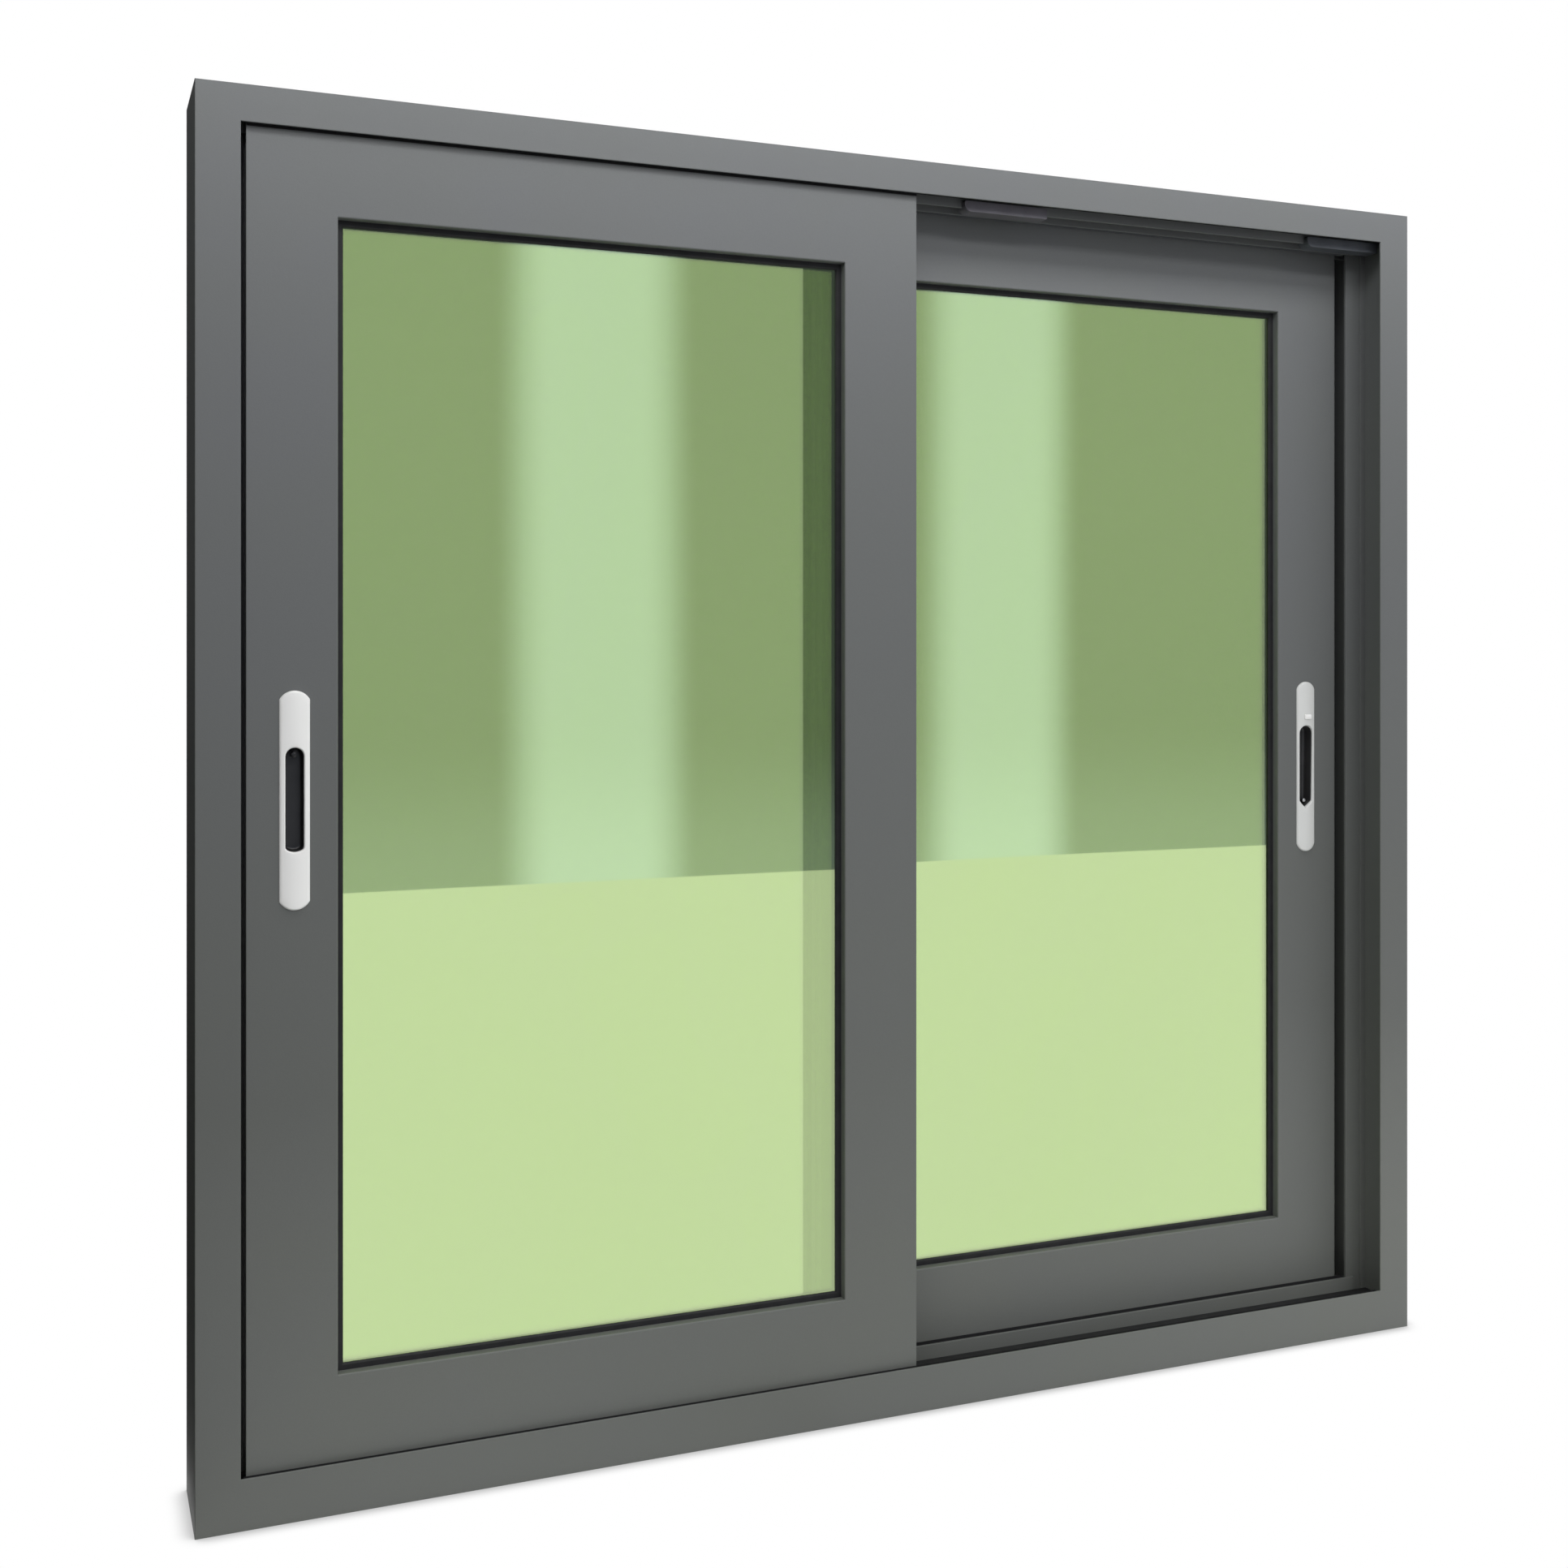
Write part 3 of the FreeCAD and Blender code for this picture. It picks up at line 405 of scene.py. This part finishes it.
FINISHES = {
    "frame_grey": powder_coat(),
    "block_grey": moulded("block_plastic_grey", BLOCK_GREY, rough=0.5, peel_size=0.0009, peel_height=0.00005),
    "tinted_glass": coated_glass(),
    "black_rubber": moulded("gasket_rubber_black", RUBBER_BLACK, rough=0.62, peel_size=0.0006,
                            peel_height=0.00006, shine=0.35),
    "lock_white": lock_paint("lock_paint_white", LOCK_WHITE),
    "cup_black": moulded("cup_plastic_black", CUP_BLACK, rough=0.34, peel_size=0.0008, peel_height=0.00002),
    "housing_zinc": drawn_metal("housing_zinc", ZINC, rough=0.4),
    "roller_nylon": moulded("roller_nylon_natural", NYLON, rough=0.45, peel_size=0.0008, peel_height=0.00004),
}
SCREW_STEEL = drawn_metal("screw_steel_bright", STEEL, rough=0.22)
PILE = brush_pile("brush_pile_black", PILE_BLACK)
HEAD_PILE = brush_pile("brush_pile_grey", PILE_GREY)
# A darker copy of the lock paint for the right plate: painted shade
SHADED_LOCK = lock_paint("lock_paint_shaded", LOCK_SHADED)
# A darker copy of the block plastic for the right anti-lift block: painted shade
SHADED_BLOCK = moulded("block_plastic_shaded", BLOCK_SHADED, rough=0.5, peel_size=0.0009, peel_height=0.00005)
# A lighter copy of the cup plastic for the right cup: painted light
PAINTED_LIGHT_CUP = moulded("cup_plastic_painted_light", CUP_PAINTED_LIGHT, rough=0.34, peel_size=0.0008, peel_height=0.00002)


def dress_solids():
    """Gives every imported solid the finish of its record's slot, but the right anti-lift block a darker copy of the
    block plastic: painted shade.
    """
    slots = {part["node"]: part["material_slot"] for part in frame["record"]["subparts"]}
    for name, solid in frame["nodes"].items():
        solid.data.materials.clear()
        solid.data.materials.append(SHADED_BLOCK if name == "anti_lift_block_right" else FINISHES[slots[name]])


def grid_mesh(name, points, closed_round, finish, capped=False, smooth=True, looped=False):
    """A surface over a grid of points (rows, columns, 3).

    The columns join up where closed_round is true, capped closes the first and the last row, and looped
    joins the last row to the first. Faces look outwards where the rows run away from the reader and the
    columns turn to the right.
    """
    if looped:
        points = np.concatenate([points, points[:1]])
    rows, columns, _ = points.shape
    index = np.arange(rows * columns).reshape(rows, columns)
    if looped:
        index[-1] = index[0]
        points, rows = points[:-1], rows - 1
    ahead = np.roll(index, -1, axis=1)
    last = columns if closed_round else columns - 1
    quads = np.stack([index[:-1, :last], ahead[:-1, :last], ahead[1:, :last], index[1:, :last]], axis=-1)
    faces = quads.reshape(-1, 4).tolist()
    if capped:
        faces += [index[0, ::-1].tolist(), index[-1].tolist()]
    mesh = bpy.data.meshes.new(name)
    mesh.from_pydata(points.reshape(-1, 3).tolist(), [], faces)
    mesh.validate()
    mesh.polygons.foreach_set("use_smooth", np.full(len(mesh.polygons), smooth))
    mesh.materials.append(finish)
    made = bpy.data.objects.new(name, mesh)
    bpy.context.scene.collection.objects.link(made)
    return made


def riding(made, body):
    """Puts a piece on its body."""
    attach(made, body)


def strip_along_x(name, x0, x1, y0, y1, z0, z1, rounding, finish):
    """A strip carried along X: the section is a box whose corners are quarter circles of the given radius."""
    turn = np.linspace(0.0, np.pi / 2, PILE_CORNER_STEPS)
    quarters = np.arange(4)[:, None] * np.pi / 2 + turn[None, :]
    side_y = np.where(np.cos(quarters.mean(axis=1)) > 0, y1 - rounding, y0 + rounding)
    side_z = np.where(np.sin(quarters.mean(axis=1)) > 0, z1 - rounding, z0 + rounding)
    y = (side_y[:, None] + rounding * np.cos(quarters)).ravel()
    z = (side_z[:, None] + rounding * np.sin(quarters)).ravel()
    ends = np.array([x0, x1])
    points = np.stack([np.repeat(ends[:, None], y.size, axis=1), np.tile(y, (2, 1)), np.tile(z, (2, 1))],
                      axis=-1)
    return grid_mesh(name, points, True, finish, capped=True, smooth=False)


def seals():
    """Pile seals and the black floor strip on the frame's own walls, and the pile on the left sash's top rail, a
    seal that is also painted shade for the gap under the head's lip.
    """
    sill_low, sill_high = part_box("frame_sill")
    head_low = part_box("frame_head")[0]
    x0, x1 = sill_low[0], sill_high[0]
    lip_back = sill_low[1] + FRAME_WALL
    lip_pile_back = lip_back + LIP_PILE
    wall_pile_back = CENTRE_WALL_BACK + WALL_PILE
    lip_edge = head_low[2] + HEAD_WALL_PAST_LIP
    # Name, gap at the ends, front, back, foot, top and finish
    strips = [
        ("head_lip_pile", SEAL_END_GAP, lip_back, lip_pile_back,
         lip_edge + PILE_INSET, lip_edge + PILE_INSET + PILE_WIDTH, PILE),
        ("sill_lip_pile", SEAL_END_GAP, lip_back, lip_pile_back,
         SILL_LIP_TOP - PILE_INSET - PILE_WIDTH, SILL_LIP_TOP - PILE_INSET, PILE),
        ("sill_wall_pile", WALL_PILE_END_GAP, CENTRE_WALL_BACK, wall_pile_back,
         sill_high[2] - PILE_INSET - PILE_WIDTH, sill_high[2] - PILE_INSET, PILE),
        ("head_wall_pile", WALL_PILE_END_GAP, CENTRE_WALL_BACK, wall_pile_back,
         head_low[2] + PILE_INSET, head_low[2] + PILE_INSET + PILE_WIDTH, HEAD_PILE),
        ("sill_floor_strip", STRIP_END_GAP, CENTRE_WALL_FRONT - FLOOR_STRIP_WIDTH,
         CENTRE_WALL_FRONT - FLOOR_STRIP_GAP, SILL_FLOOR_TOP, SILL_FLOOR_TOP + FLOOR_STRIP_THICKNESS,
         FINISHES["black_rubber"]),
    ]
    for name, gap, front, back, foot, top, finish in strips:
        piece = strip_along_x(name, x0 + gap, x1 - gap, front, back, foot, top, PILE_ROUND, finish)
        riding(piece, "frame")
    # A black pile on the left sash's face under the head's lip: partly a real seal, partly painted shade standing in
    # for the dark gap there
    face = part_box("left_sash_top_rail")[0][1]
    left_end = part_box("left_sash_lock_stile")[0][0] + PILE_INSET
    right_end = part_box("left_sash_meeting_stile")[1][0] - PILE_INSET
    top_shade_pile = strip_along_x("left_sash_top_shade_pile", left_end, right_end, face - TOP_SHADE_PILE_THICKNESS, face,
                             lip_edge - TOP_SHADE_PILE_BELOW_LIP, lip_edge + TOP_SHADE_PILE_ABOVE_LIP, PILE_ROUND, PILE)
    riding(top_shade_pile, "left_sash")


def rounded_outline(corners, steps):
    """Points along a closed outline of corners (a, b, radius), each corner an arc that touches both sides.

    The arc's centre lies on the corner's bisector, radius / sin(half angle) away. A point on the arc is the
    turn between the two touching points: (sin((1 - t) * s) * v0 + sin(t * s) * v1) / sin(s) about the centre,
    where s is the angle between v0 and v1.
    """
    corners = np.array(corners)
    here, radius = corners[:, :2], corners[:, 2:]
    before = np.roll(here, 1, axis=0) - here
    after = np.roll(here, -1, axis=0) - here
    before /= np.linalg.norm(before, axis=1, keepdims=True)
    after /= np.linalg.norm(after, axis=1, keepdims=True)
    half_angle = np.arccos(np.clip((before * after).sum(axis=1, keepdims=True), -1.0, 1.0)) / 2
    middle = before + after
    middle /= np.linalg.norm(middle, axis=1, keepdims=True)
    centre = here + middle * radius / np.sin(half_angle)
    reach = radius / np.tan(half_angle)
    v0 = here + before * reach - centre
    v1 = here + after * reach - centre
    sweep = (np.pi - 2 * half_angle)[:, :, None]
    t = np.linspace(0.0, 1.0, steps)[None, :, None]
    arcs = (np.sin((1 - t) * sweep) * v0[:, None, :] + np.sin(t * sweep) * v1[:, None, :]) / np.sin(sweep)
    return (centre[:, None, :] + arcs).reshape(-1, 2)


def recess_rim(recess):
    """The rim of a finger recess about its middle: half round on top, two slopes and a rounded tip below."""
    half, top = recess["half"], RECESS_LENGTH / 2
    foot = recess["foot"] - top
    return rounded_outline([(-half, top, half * RECESS_TOP_ROUND), (half, top, half * RECESS_TOP_ROUND),
                            (half - recess["taper"], foot, recess["side"]),
                            (-recess["shift"], -top, recess["tip"]), (-half, foot, recess["side"])], CORNER_STEPS)


def middle_line(outline, recess):
    """For each point of an outline, the nearest point of the recess's upright middle line."""
    line = np.zeros_like(outline)
    straight = RECESS_LENGTH / 2 - recess["half"]
    line[:, 1] = np.clip(outline[:, 1], -straight, straight)
    return line


def plate_outline(plate):
    """Outline of a lock plate about its middle: straight sides, and an arc of radius r at each end.

    A point on the arc is (r * sin a, end - r * (1 - cos a)), with a from -asin(half / r) to asin(half / r).
    """
    half, end = plate["half"], PLATE_LENGTH / 2
    turn = np.linspace(-1.0, 1.0, PLATE_END_STEPS)
    ends = []
    for radius, upwards in ((plate["top"], 1), (plate["bottom"], -1)):
        angle = turn * math.asin(half / radius)
        ends.append(upwards * np.stack([radius * np.sin(angle), end - radius * (1 - np.cos(angle))], axis=-1))
    top, bottom = ends
    share = np.linspace(0.0, 1.0, PLATE_SIDE_STEPS)[1:-1, None]
    return np.concatenate([top, top[-1] + (bottom[0] - top[-1]) * share,
                           bottom, bottom[-1] + (top[0] - bottom[-1]) * share])


def reach_to(outline, centres, directions):
    """How far each ray goes from its centre to a closed outline: cross(gap, side) / cross(ray, side)."""
    side = np.roll(outline, -1, axis=0) - outline
    gap = outline[None] - centres[:, None]
    ray = directions[:, None]
    cross = ray[..., 0] * side[..., 1] - ray[..., 1] * side[..., 0]
    cross = np.where(abs(cross) < PARALLEL, PARALLEL, cross)
    along_ray = (gap[..., 0] * side[..., 1] - gap[..., 1] * side[..., 0]) / cross
    along_side = (gap[..., 0] * ray[..., 1] - gap[..., 1] * ray[..., 0]) / cross
    met = (along_side > -TOUCHING) & (along_side < 1 + TOUCHING) & (along_ray > 0)
    return np.where(met, along_ray, 0.0).max(axis=1)


def nearness(outline, points):
    """Distance from each point of a grid to the nearest side of a closed outline."""
    side = np.roll(outline, -1, axis=0) - outline
    gap = points[..., None, :] - outline
    along = np.clip((gap * side).sum(axis=-1) / (side ** 2).sum(axis=-1), 0.0, 1.0)
    return np.linalg.norm(gap - along[..., None] * side, axis=-1).min(axis=-1)


def lock_place(sash):
    """Middle of a lock across and up, and the depth of the sash's face."""
    low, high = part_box(sash + "_lock_plate")
    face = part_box(sash + "_lock_stile")[0][1]
    return (low[0] + high[0]) / 2, (low[2] + high[2]) / 2, face


def lock_plate(sash, plate, recess, finish):
    """Crowned plate with rolled edges round the finger recess.

    Rings run from the recess's rim to the outer edge along rays from the recess's middle line. The height is
    crown(x) * roll(d / edge roll) * roll(e / rim roll), where d and e are the distances to the outer edge and to
    the rim, roll(u) = sqrt(1 - (1 - u)^2) up to u = 1, and crown(x) = edge + (crest - edge) * (1 - (x / half)^2).
    """
    x, z, face = lock_place(sash)
    edge, rim = plate_outline(plate), recess_rim(recess)
    centres = middle_line(edge, recess)
    outward = edge - centres
    outer = np.linalg.norm(outward, axis=1)
    outward /= outer[:, None]
    inner = reach_to(rim, centres, outward)
    quarter = 1 - np.cos(np.linspace(0.0, np.pi / 2, ROLL_STEPS))
    from_rim = inner[None] + RIM_ROLL * quarter[:, None]
    from_edge = outer[None] - PLATE_ROLL * quarter[::-1, None]
    share = np.linspace(0.0, 1.0, PLATE_FACE_STEPS)[1:-1, None]
    middle = from_rim[-1:] + (from_edge[:1] - from_rim[-1:]) * share
    reach = np.concatenate([from_rim, middle, from_edge])
    flat = centres[None] + outward[None] * reach[..., None]

    def roll(distance, radius):
        return np.sqrt(1 - (1 - np.clip(distance / radius, 0.0, 1.0)) ** 2)

    crown = PLATE_EDGE + (PLATE_CROWN - PLATE_EDGE) * (1 - (flat[..., 0] / plate["half"]) ** 2)
    height = crown * roll(nearness(edge, flat), PLATE_ROLL) * roll(nearness(rim, flat), RIM_ROLL)
    points = np.stack([x + flat[..., 0], face - height, z + flat[..., 1]], axis=-1)
    made = grid_mesh(sash + "_crowned_plate", points, True, finish, looped=True)
    riding(made, sash)
    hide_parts(sash + "_lock_plate")


def lock_slider():
    """Small slider on the right plate: a bar with rolled edges and a slightly crowned face.

    The rings are a rounded outline drawn in by an inset at a height. Over the roll, inset = r * (1 - cos a) and
    height = side + r * sin a, for a from 0 to a quarter turn. Two more rings rise to the crest.
    """
    low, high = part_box("right_sash_lock_button")
    middle = (np.array(low) + np.array(high)) / 2
    half = (np.array(high) - np.array(low)) / 2
    outline = rounded_outline([(-half[0], half[2], SLIDER_ROUND), (half[0], half[2], SLIDER_ROUND),
                               (half[0], -half[2], SLIDER_ROUND), (-half[0], -half[2], SLIDER_ROUND)],
                              SLIDER_CORNER_STEPS)[::-1]
    turn = np.linspace(0.0, np.pi / 2, ROLL_STEPS)
    inset = np.concatenate([[SLIDER_ROLL, 0.0], SLIDER_ROLL * (1 - np.cos(turn)),
                            [SLIDER_CROWN_START * half[2], SLIDER_CROWN_END * half[2]]])
    proud = np.concatenate([[0.0, 0.0], SLIDER_THICKNESS - SLIDER_CROWN - SLIDER_ROLL * (1 - np.sin(turn)),
                            [SLIDER_THICKNESS - SLIDER_CROWN_DROP * SLIDER_CROWN, SLIDER_THICKNESS]])
    across = outline[None, :, 0] * (1 - inset / half[0])[:, None]
    up = outline[None, :, 1] * (1 - inset / half[2])[:, None]
    back = low[1] + SLIDER_THICKNESS
    points = np.stack([middle[0] + across, back - np.repeat(proud[:, None], outline.shape[0], axis=1),
                       middle[2] + up], axis=-1)
    made = grid_mesh("right_sash_lock_slider", points, True, FINISHES["lock_white"], capped=True)
    riding(made, "lock_button")
    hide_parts("right_sash_lock_button")


def finger_cup(sash, recess, finish):
    """Dished cup behind a lock plate.

    Each ring is the rim drawn towards its middle line by a share q, at a depth d of the cup's depth:
    q = floor share + (1 - floor share) * (1 - (1 - t)^n) and d = 1 - t^n, for t from 0 at the floor to 1 at
    the rim. The outside follows as a plain shell round it.
    """
    x, z, face = lock_place(sash)
    rim = recess_rim(recess)
    spine = middle_line(rim, recess)
    t = np.linspace(0.0, 1.0, CUP_STEPS)
    share = CUP_FLOOR_SHARE + (1 - CUP_FLOOR_SHARE) * (1 - (1 - t) ** CUP_DISH)
    depth = RECESS_DEPTH * (1 - t ** CUP_DISH)
    outer = 1 + CUP_SHELL / recess["half"]
    share = np.concatenate([share, [outer, outer, CUP_FLOOR_SHARE]])
    depth = np.concatenate([depth, [0.0, RECESS_DEPTH + CUP_SHELL, RECESS_DEPTH + CUP_SHELL]])
    flat = spine[None] + (rim - spine)[None] * share[:, None, None]
    points = np.stack([x + flat[..., 0], face + np.repeat(depth[:, None], rim.shape[0], axis=1),
                       z + flat[..., 1]], axis=-1)
    made = grid_mesh(sash + "_finger_cup", points, True, finish, capped=True)
    riding(made, sash)
    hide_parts(sash + "_lock_cup")


def turned(name, centre, radii, depths, finish, cross=None):
    """A piece turned about the depth axis: circles of given radii at given depths.

    A cross of (half width, half length, depth) is sunk into its face.
    """
    angle = np.linspace(2 * np.pi, 0.0, TURNED_STEPS, endpoint=False)
    u = np.array(radii)[:, None] * np.cos(angle)
    v = np.array(radii)[:, None] * np.sin(angle)
    depth = np.repeat(np.array(depths)[:, None], angle.size, axis=1)
    if cross:
        across, along, deep = cross
        sunk = ((abs(u) < across) & (abs(v) < along)) | ((abs(v) < across) & (abs(u) < along))
        depth = depth + deep * sunk
    points = np.stack([centre[0] + u, centre[1] + depth, centre[2] + v], axis=-1)
    return grid_mesh(name, points, True, finish, capped=True)


def lock_screws(sash, places, finish):
    """Screws at the ends of a recess: each a domed head with a cross, on a boss that rises from the cup's floor.

    The dome's height at a share s of the radius is dome * sqrt(1 - curve * s^2).
    """
    x, z, face = lock_place(sash)
    share = np.linspace(SCREW_DOME_START, 1.0, DOME_STEPS)
    dome = -SCREW_DOME * np.sqrt(1 - SCREW_DOME_CURVE * share ** 2)
    boss_share, boss_depth = np.array(BOSS_RINGS).T
    for number, (across, up) in enumerate(places):
        centre = (x + across, face + BOSS_DEPTH, z + up)
        head = turned(sash + "_lock_screw_" + str(number), centre, [*(share * SCREW_RADIUS), SCREW_RADIUS],
                      [*dome, 0.0], finish, SCREW_CROSS)
        riding(head, sash)
        boss = turned(sash + "_lock_boss_" + str(number), centre, [*(boss_share * BOSS_RADIUS), BOSS_RADIUS],
                      [*boss_depth, RECESS_DEPTH - BOSS_DEPTH], FINISHES["cup_black"])
        riding(boss, sash)


def standing(name, path, height, finish):
    """An upright sheet: a path of (x, y) carried from the floor to a height."""
    along, tall = np.array(path), np.array([0.0, height])
    x, z = np.meshgrid(along[:, 0], tall)
    y = np.meshgrid(along[:, 1], tall)[0]
    return grid_mesh(name, np.stack([x, y, z], axis=-1), False, finish)


def unseen(made, lighting):
    """Hides a studio piece from the camera. Mirrors show it, and where lighting is true, it lights what it faces."""
    made.visible_camera = False
    made.visible_transmission = False
    made.visible_shadow = False
    made.visible_diffuse = lighting


def soft_lamp(name, place, aim, size, watts):
    """A long soft lamp that lies along X and looks from its place to its aim."""
    lamp = bpy.data.lights.new(name, "AREA")
    lamp.shape = "RECTANGLE"
    lamp.size, lamp.size_y = size
    lamp.energy = watts
    made = bpy.data.objects.new(name, lamp)
    made.location = place
    ahead = np.array(aim) - np.array(place)
    flat = math.hypot(ahead[0], ahead[1])
    made.rotation_euler = (math.atan2(flat, -ahead[2]), 0.0, math.atan2(-ahead[0], ahead[1]))
    bpy.context.scene.collection.objects.link(made)


def studio():
    """White floor with a contact shadow, white world, four long soft lamps, and what the panes reflect.

    For light and for mirrors, the floor is dark beyond the window's left end.
    """
    f = Finish("studio_floor_white")
    open_sky = f.node("ShaderNodeAmbientOcclusion", {"samples": CONTACT_SAMPLES}, {"Distance": CONTACT_REACH})["AO"]
    contact = f.clip(open_sky, *CONTACT_OPEN, 1.0 - CONTACT_DEPTH, 1.0)
    shine = f.node("ShaderNodeEmission", {}, {"Color": contact})
    across = f.node("ShaderNodeSeparateXYZ", {}, {0: f.place()})["X"]
    on_paper = f.clip(across, CLOTH_EDGE, CLOTH_EDGE + CLOTH_SOFTNESS)
    cloth = f.node("ShaderNodeBsdfDiffuse", {}, {"Color": grey(CLOTH_TONE)})
    paper = f.node("ShaderNodeBsdfDiffuse", {}, {"Color": grey(PAPER_TONE)})
    matt = f.node("ShaderNodeMixShader", {}, {0: on_paper, 1: cloth, 2: paper})
    f.done(f.node("ShaderNodeMixShader", {}, {0: f.seen(on_paper), 1: matt, 2: shine}))
    ends = np.array([-FLOOR_REACH, FLOOR_REACH])
    x, y = np.meshgrid(ends, ends)
    floor = grid_mesh("studio_floor", np.stack([x, y, np.zeros_like(x)], axis=-1), False, f.made)

    # A cool wall far in front of the window, with soft upright panels of light and a glow along its foot
    g = Finish("studio_wall_cool")
    spot = g.node("ShaderNodeSeparateXYZ", {}, {0: g.place()})
    turns = (spot["X"] - PANEL_AT) * (2 * math.pi / PANEL_SPACING)
    wave = g.node("ShaderNodeMath", {"operation": "COSINE"}, {0: turns})
    foot = g.clip(spot["Z"], 0.0, WALL_FOOT_HEIGHT, WALL_FOOT_GLOW, 0.0)
    tone = g.clip(wave, *PANEL_SOFTNESS, *WALL_TONES) + foot
    light = g.node("ShaderNodeVectorMath", {"operation": "SCALE"}, {0: WALL_COLOUR, "Scale": tone})
    g.done(g.node("ShaderNodeEmission", {}, {"Color": light}))
    wall = standing("studio_wall", ((WALL_ENDS[0], -WALL_AWAY), (WALL_ENDS[1], -WALL_AWAY)), WALL_HEIGHT, g.made)
    unseen(wall, lighting=False)

    d = Finish("studio_flag_dark")
    d.done(d.node("ShaderNodeBsdfDiffuse", {}, {"Color": grey(FLAG_TONE)}))
    flag = standing("studio_flag", FLAG_PATH, FLAG_HEIGHT, d.made)
    unseen(flag, lighting=True)

    world = bpy.data.worlds.new("studio")
    bpy.context.scene.world = world
    w = Finish("studio", world)
    level = AMBIENT + (1.0 - AMBIENT) * w.seen()
    w.done(w.node("ShaderNodeBackground", {}, {"Color": level}))

    soft_lamp("key_lamp", KEY_PLACE, KEY_AIM, KEY_SIZE, KEY_WATTS)
    soft_lamp("top_lamp", TOP_PLACE, TOP_AIM, TOP_SIZE, TOP_WATTS)
    soft_lamp("low_lamp", LOW_PLACE, LOW_AIM, LOW_SIZE, LOW_WATTS)
    soft_lamp("corner_lamp", CORNER_PLACE, CORNER_AIM, CORNER_SIZE, CORNER_WATTS)


def camera():
    """The photograph's camera: level, turned to the right, with the frame moved down by a shift."""
    data = bpy.data.cameras.new("photo_camera")
    data.sensor_width = SENSOR_MM
    data.lens = FOCAL_PIXELS / PHOTO_PIXELS * SENSOR_MM
    data.shift_y = -(PHOTO_PIXELS / 2 - HORIZON_PIXEL) / PHOTO_PIXELS
    data.clip_start = CAMERA_NEAR
    data.clip_end = CAMERA_FAR
    made = bpy.data.objects.new("photo_camera", data)
    made.location = CAMERA_PLACE
    made.rotation_euler = (math.pi / 2, 0.0, -CAMERA_YAW)
    bpy.context.scene.collection.objects.link(made)
    bpy.context.scene.camera = made


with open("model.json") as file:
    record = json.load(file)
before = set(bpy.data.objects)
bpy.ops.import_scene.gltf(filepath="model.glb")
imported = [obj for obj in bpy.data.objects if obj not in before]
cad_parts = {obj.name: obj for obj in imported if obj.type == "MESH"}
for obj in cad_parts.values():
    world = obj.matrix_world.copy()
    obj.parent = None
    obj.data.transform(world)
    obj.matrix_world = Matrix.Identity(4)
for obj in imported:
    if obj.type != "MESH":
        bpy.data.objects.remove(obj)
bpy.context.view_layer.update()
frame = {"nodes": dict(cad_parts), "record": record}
dress_solids()
seals()
lock_plate("left_sash", LEFT_PLATE, LEFT_RECESS, FINISHES["lock_white"])
# The right plate gets the darker copy of the lock paint: painted shade
lock_plate("right_sash", RIGHT_PLATE, RIGHT_RECESS, SHADED_LOCK)
lock_slider()
finger_cup("left_sash", LEFT_RECESS, FINISHES["cup_black"])
# The right cup gets the lighter copy of the cup plastic: painted light
finger_cup("right_sash", RIGHT_RECESS, PAINTED_LIGHT_CUP)
lock_screws("left_sash", LEFT_SCREWS, FINISHES["cup_black"])
lock_screws("right_sash", RIGHT_SCREWS, SCREW_STEEL)
studio()
camera()
bpy.context.scene.view_settings.view_transform = "Standard"
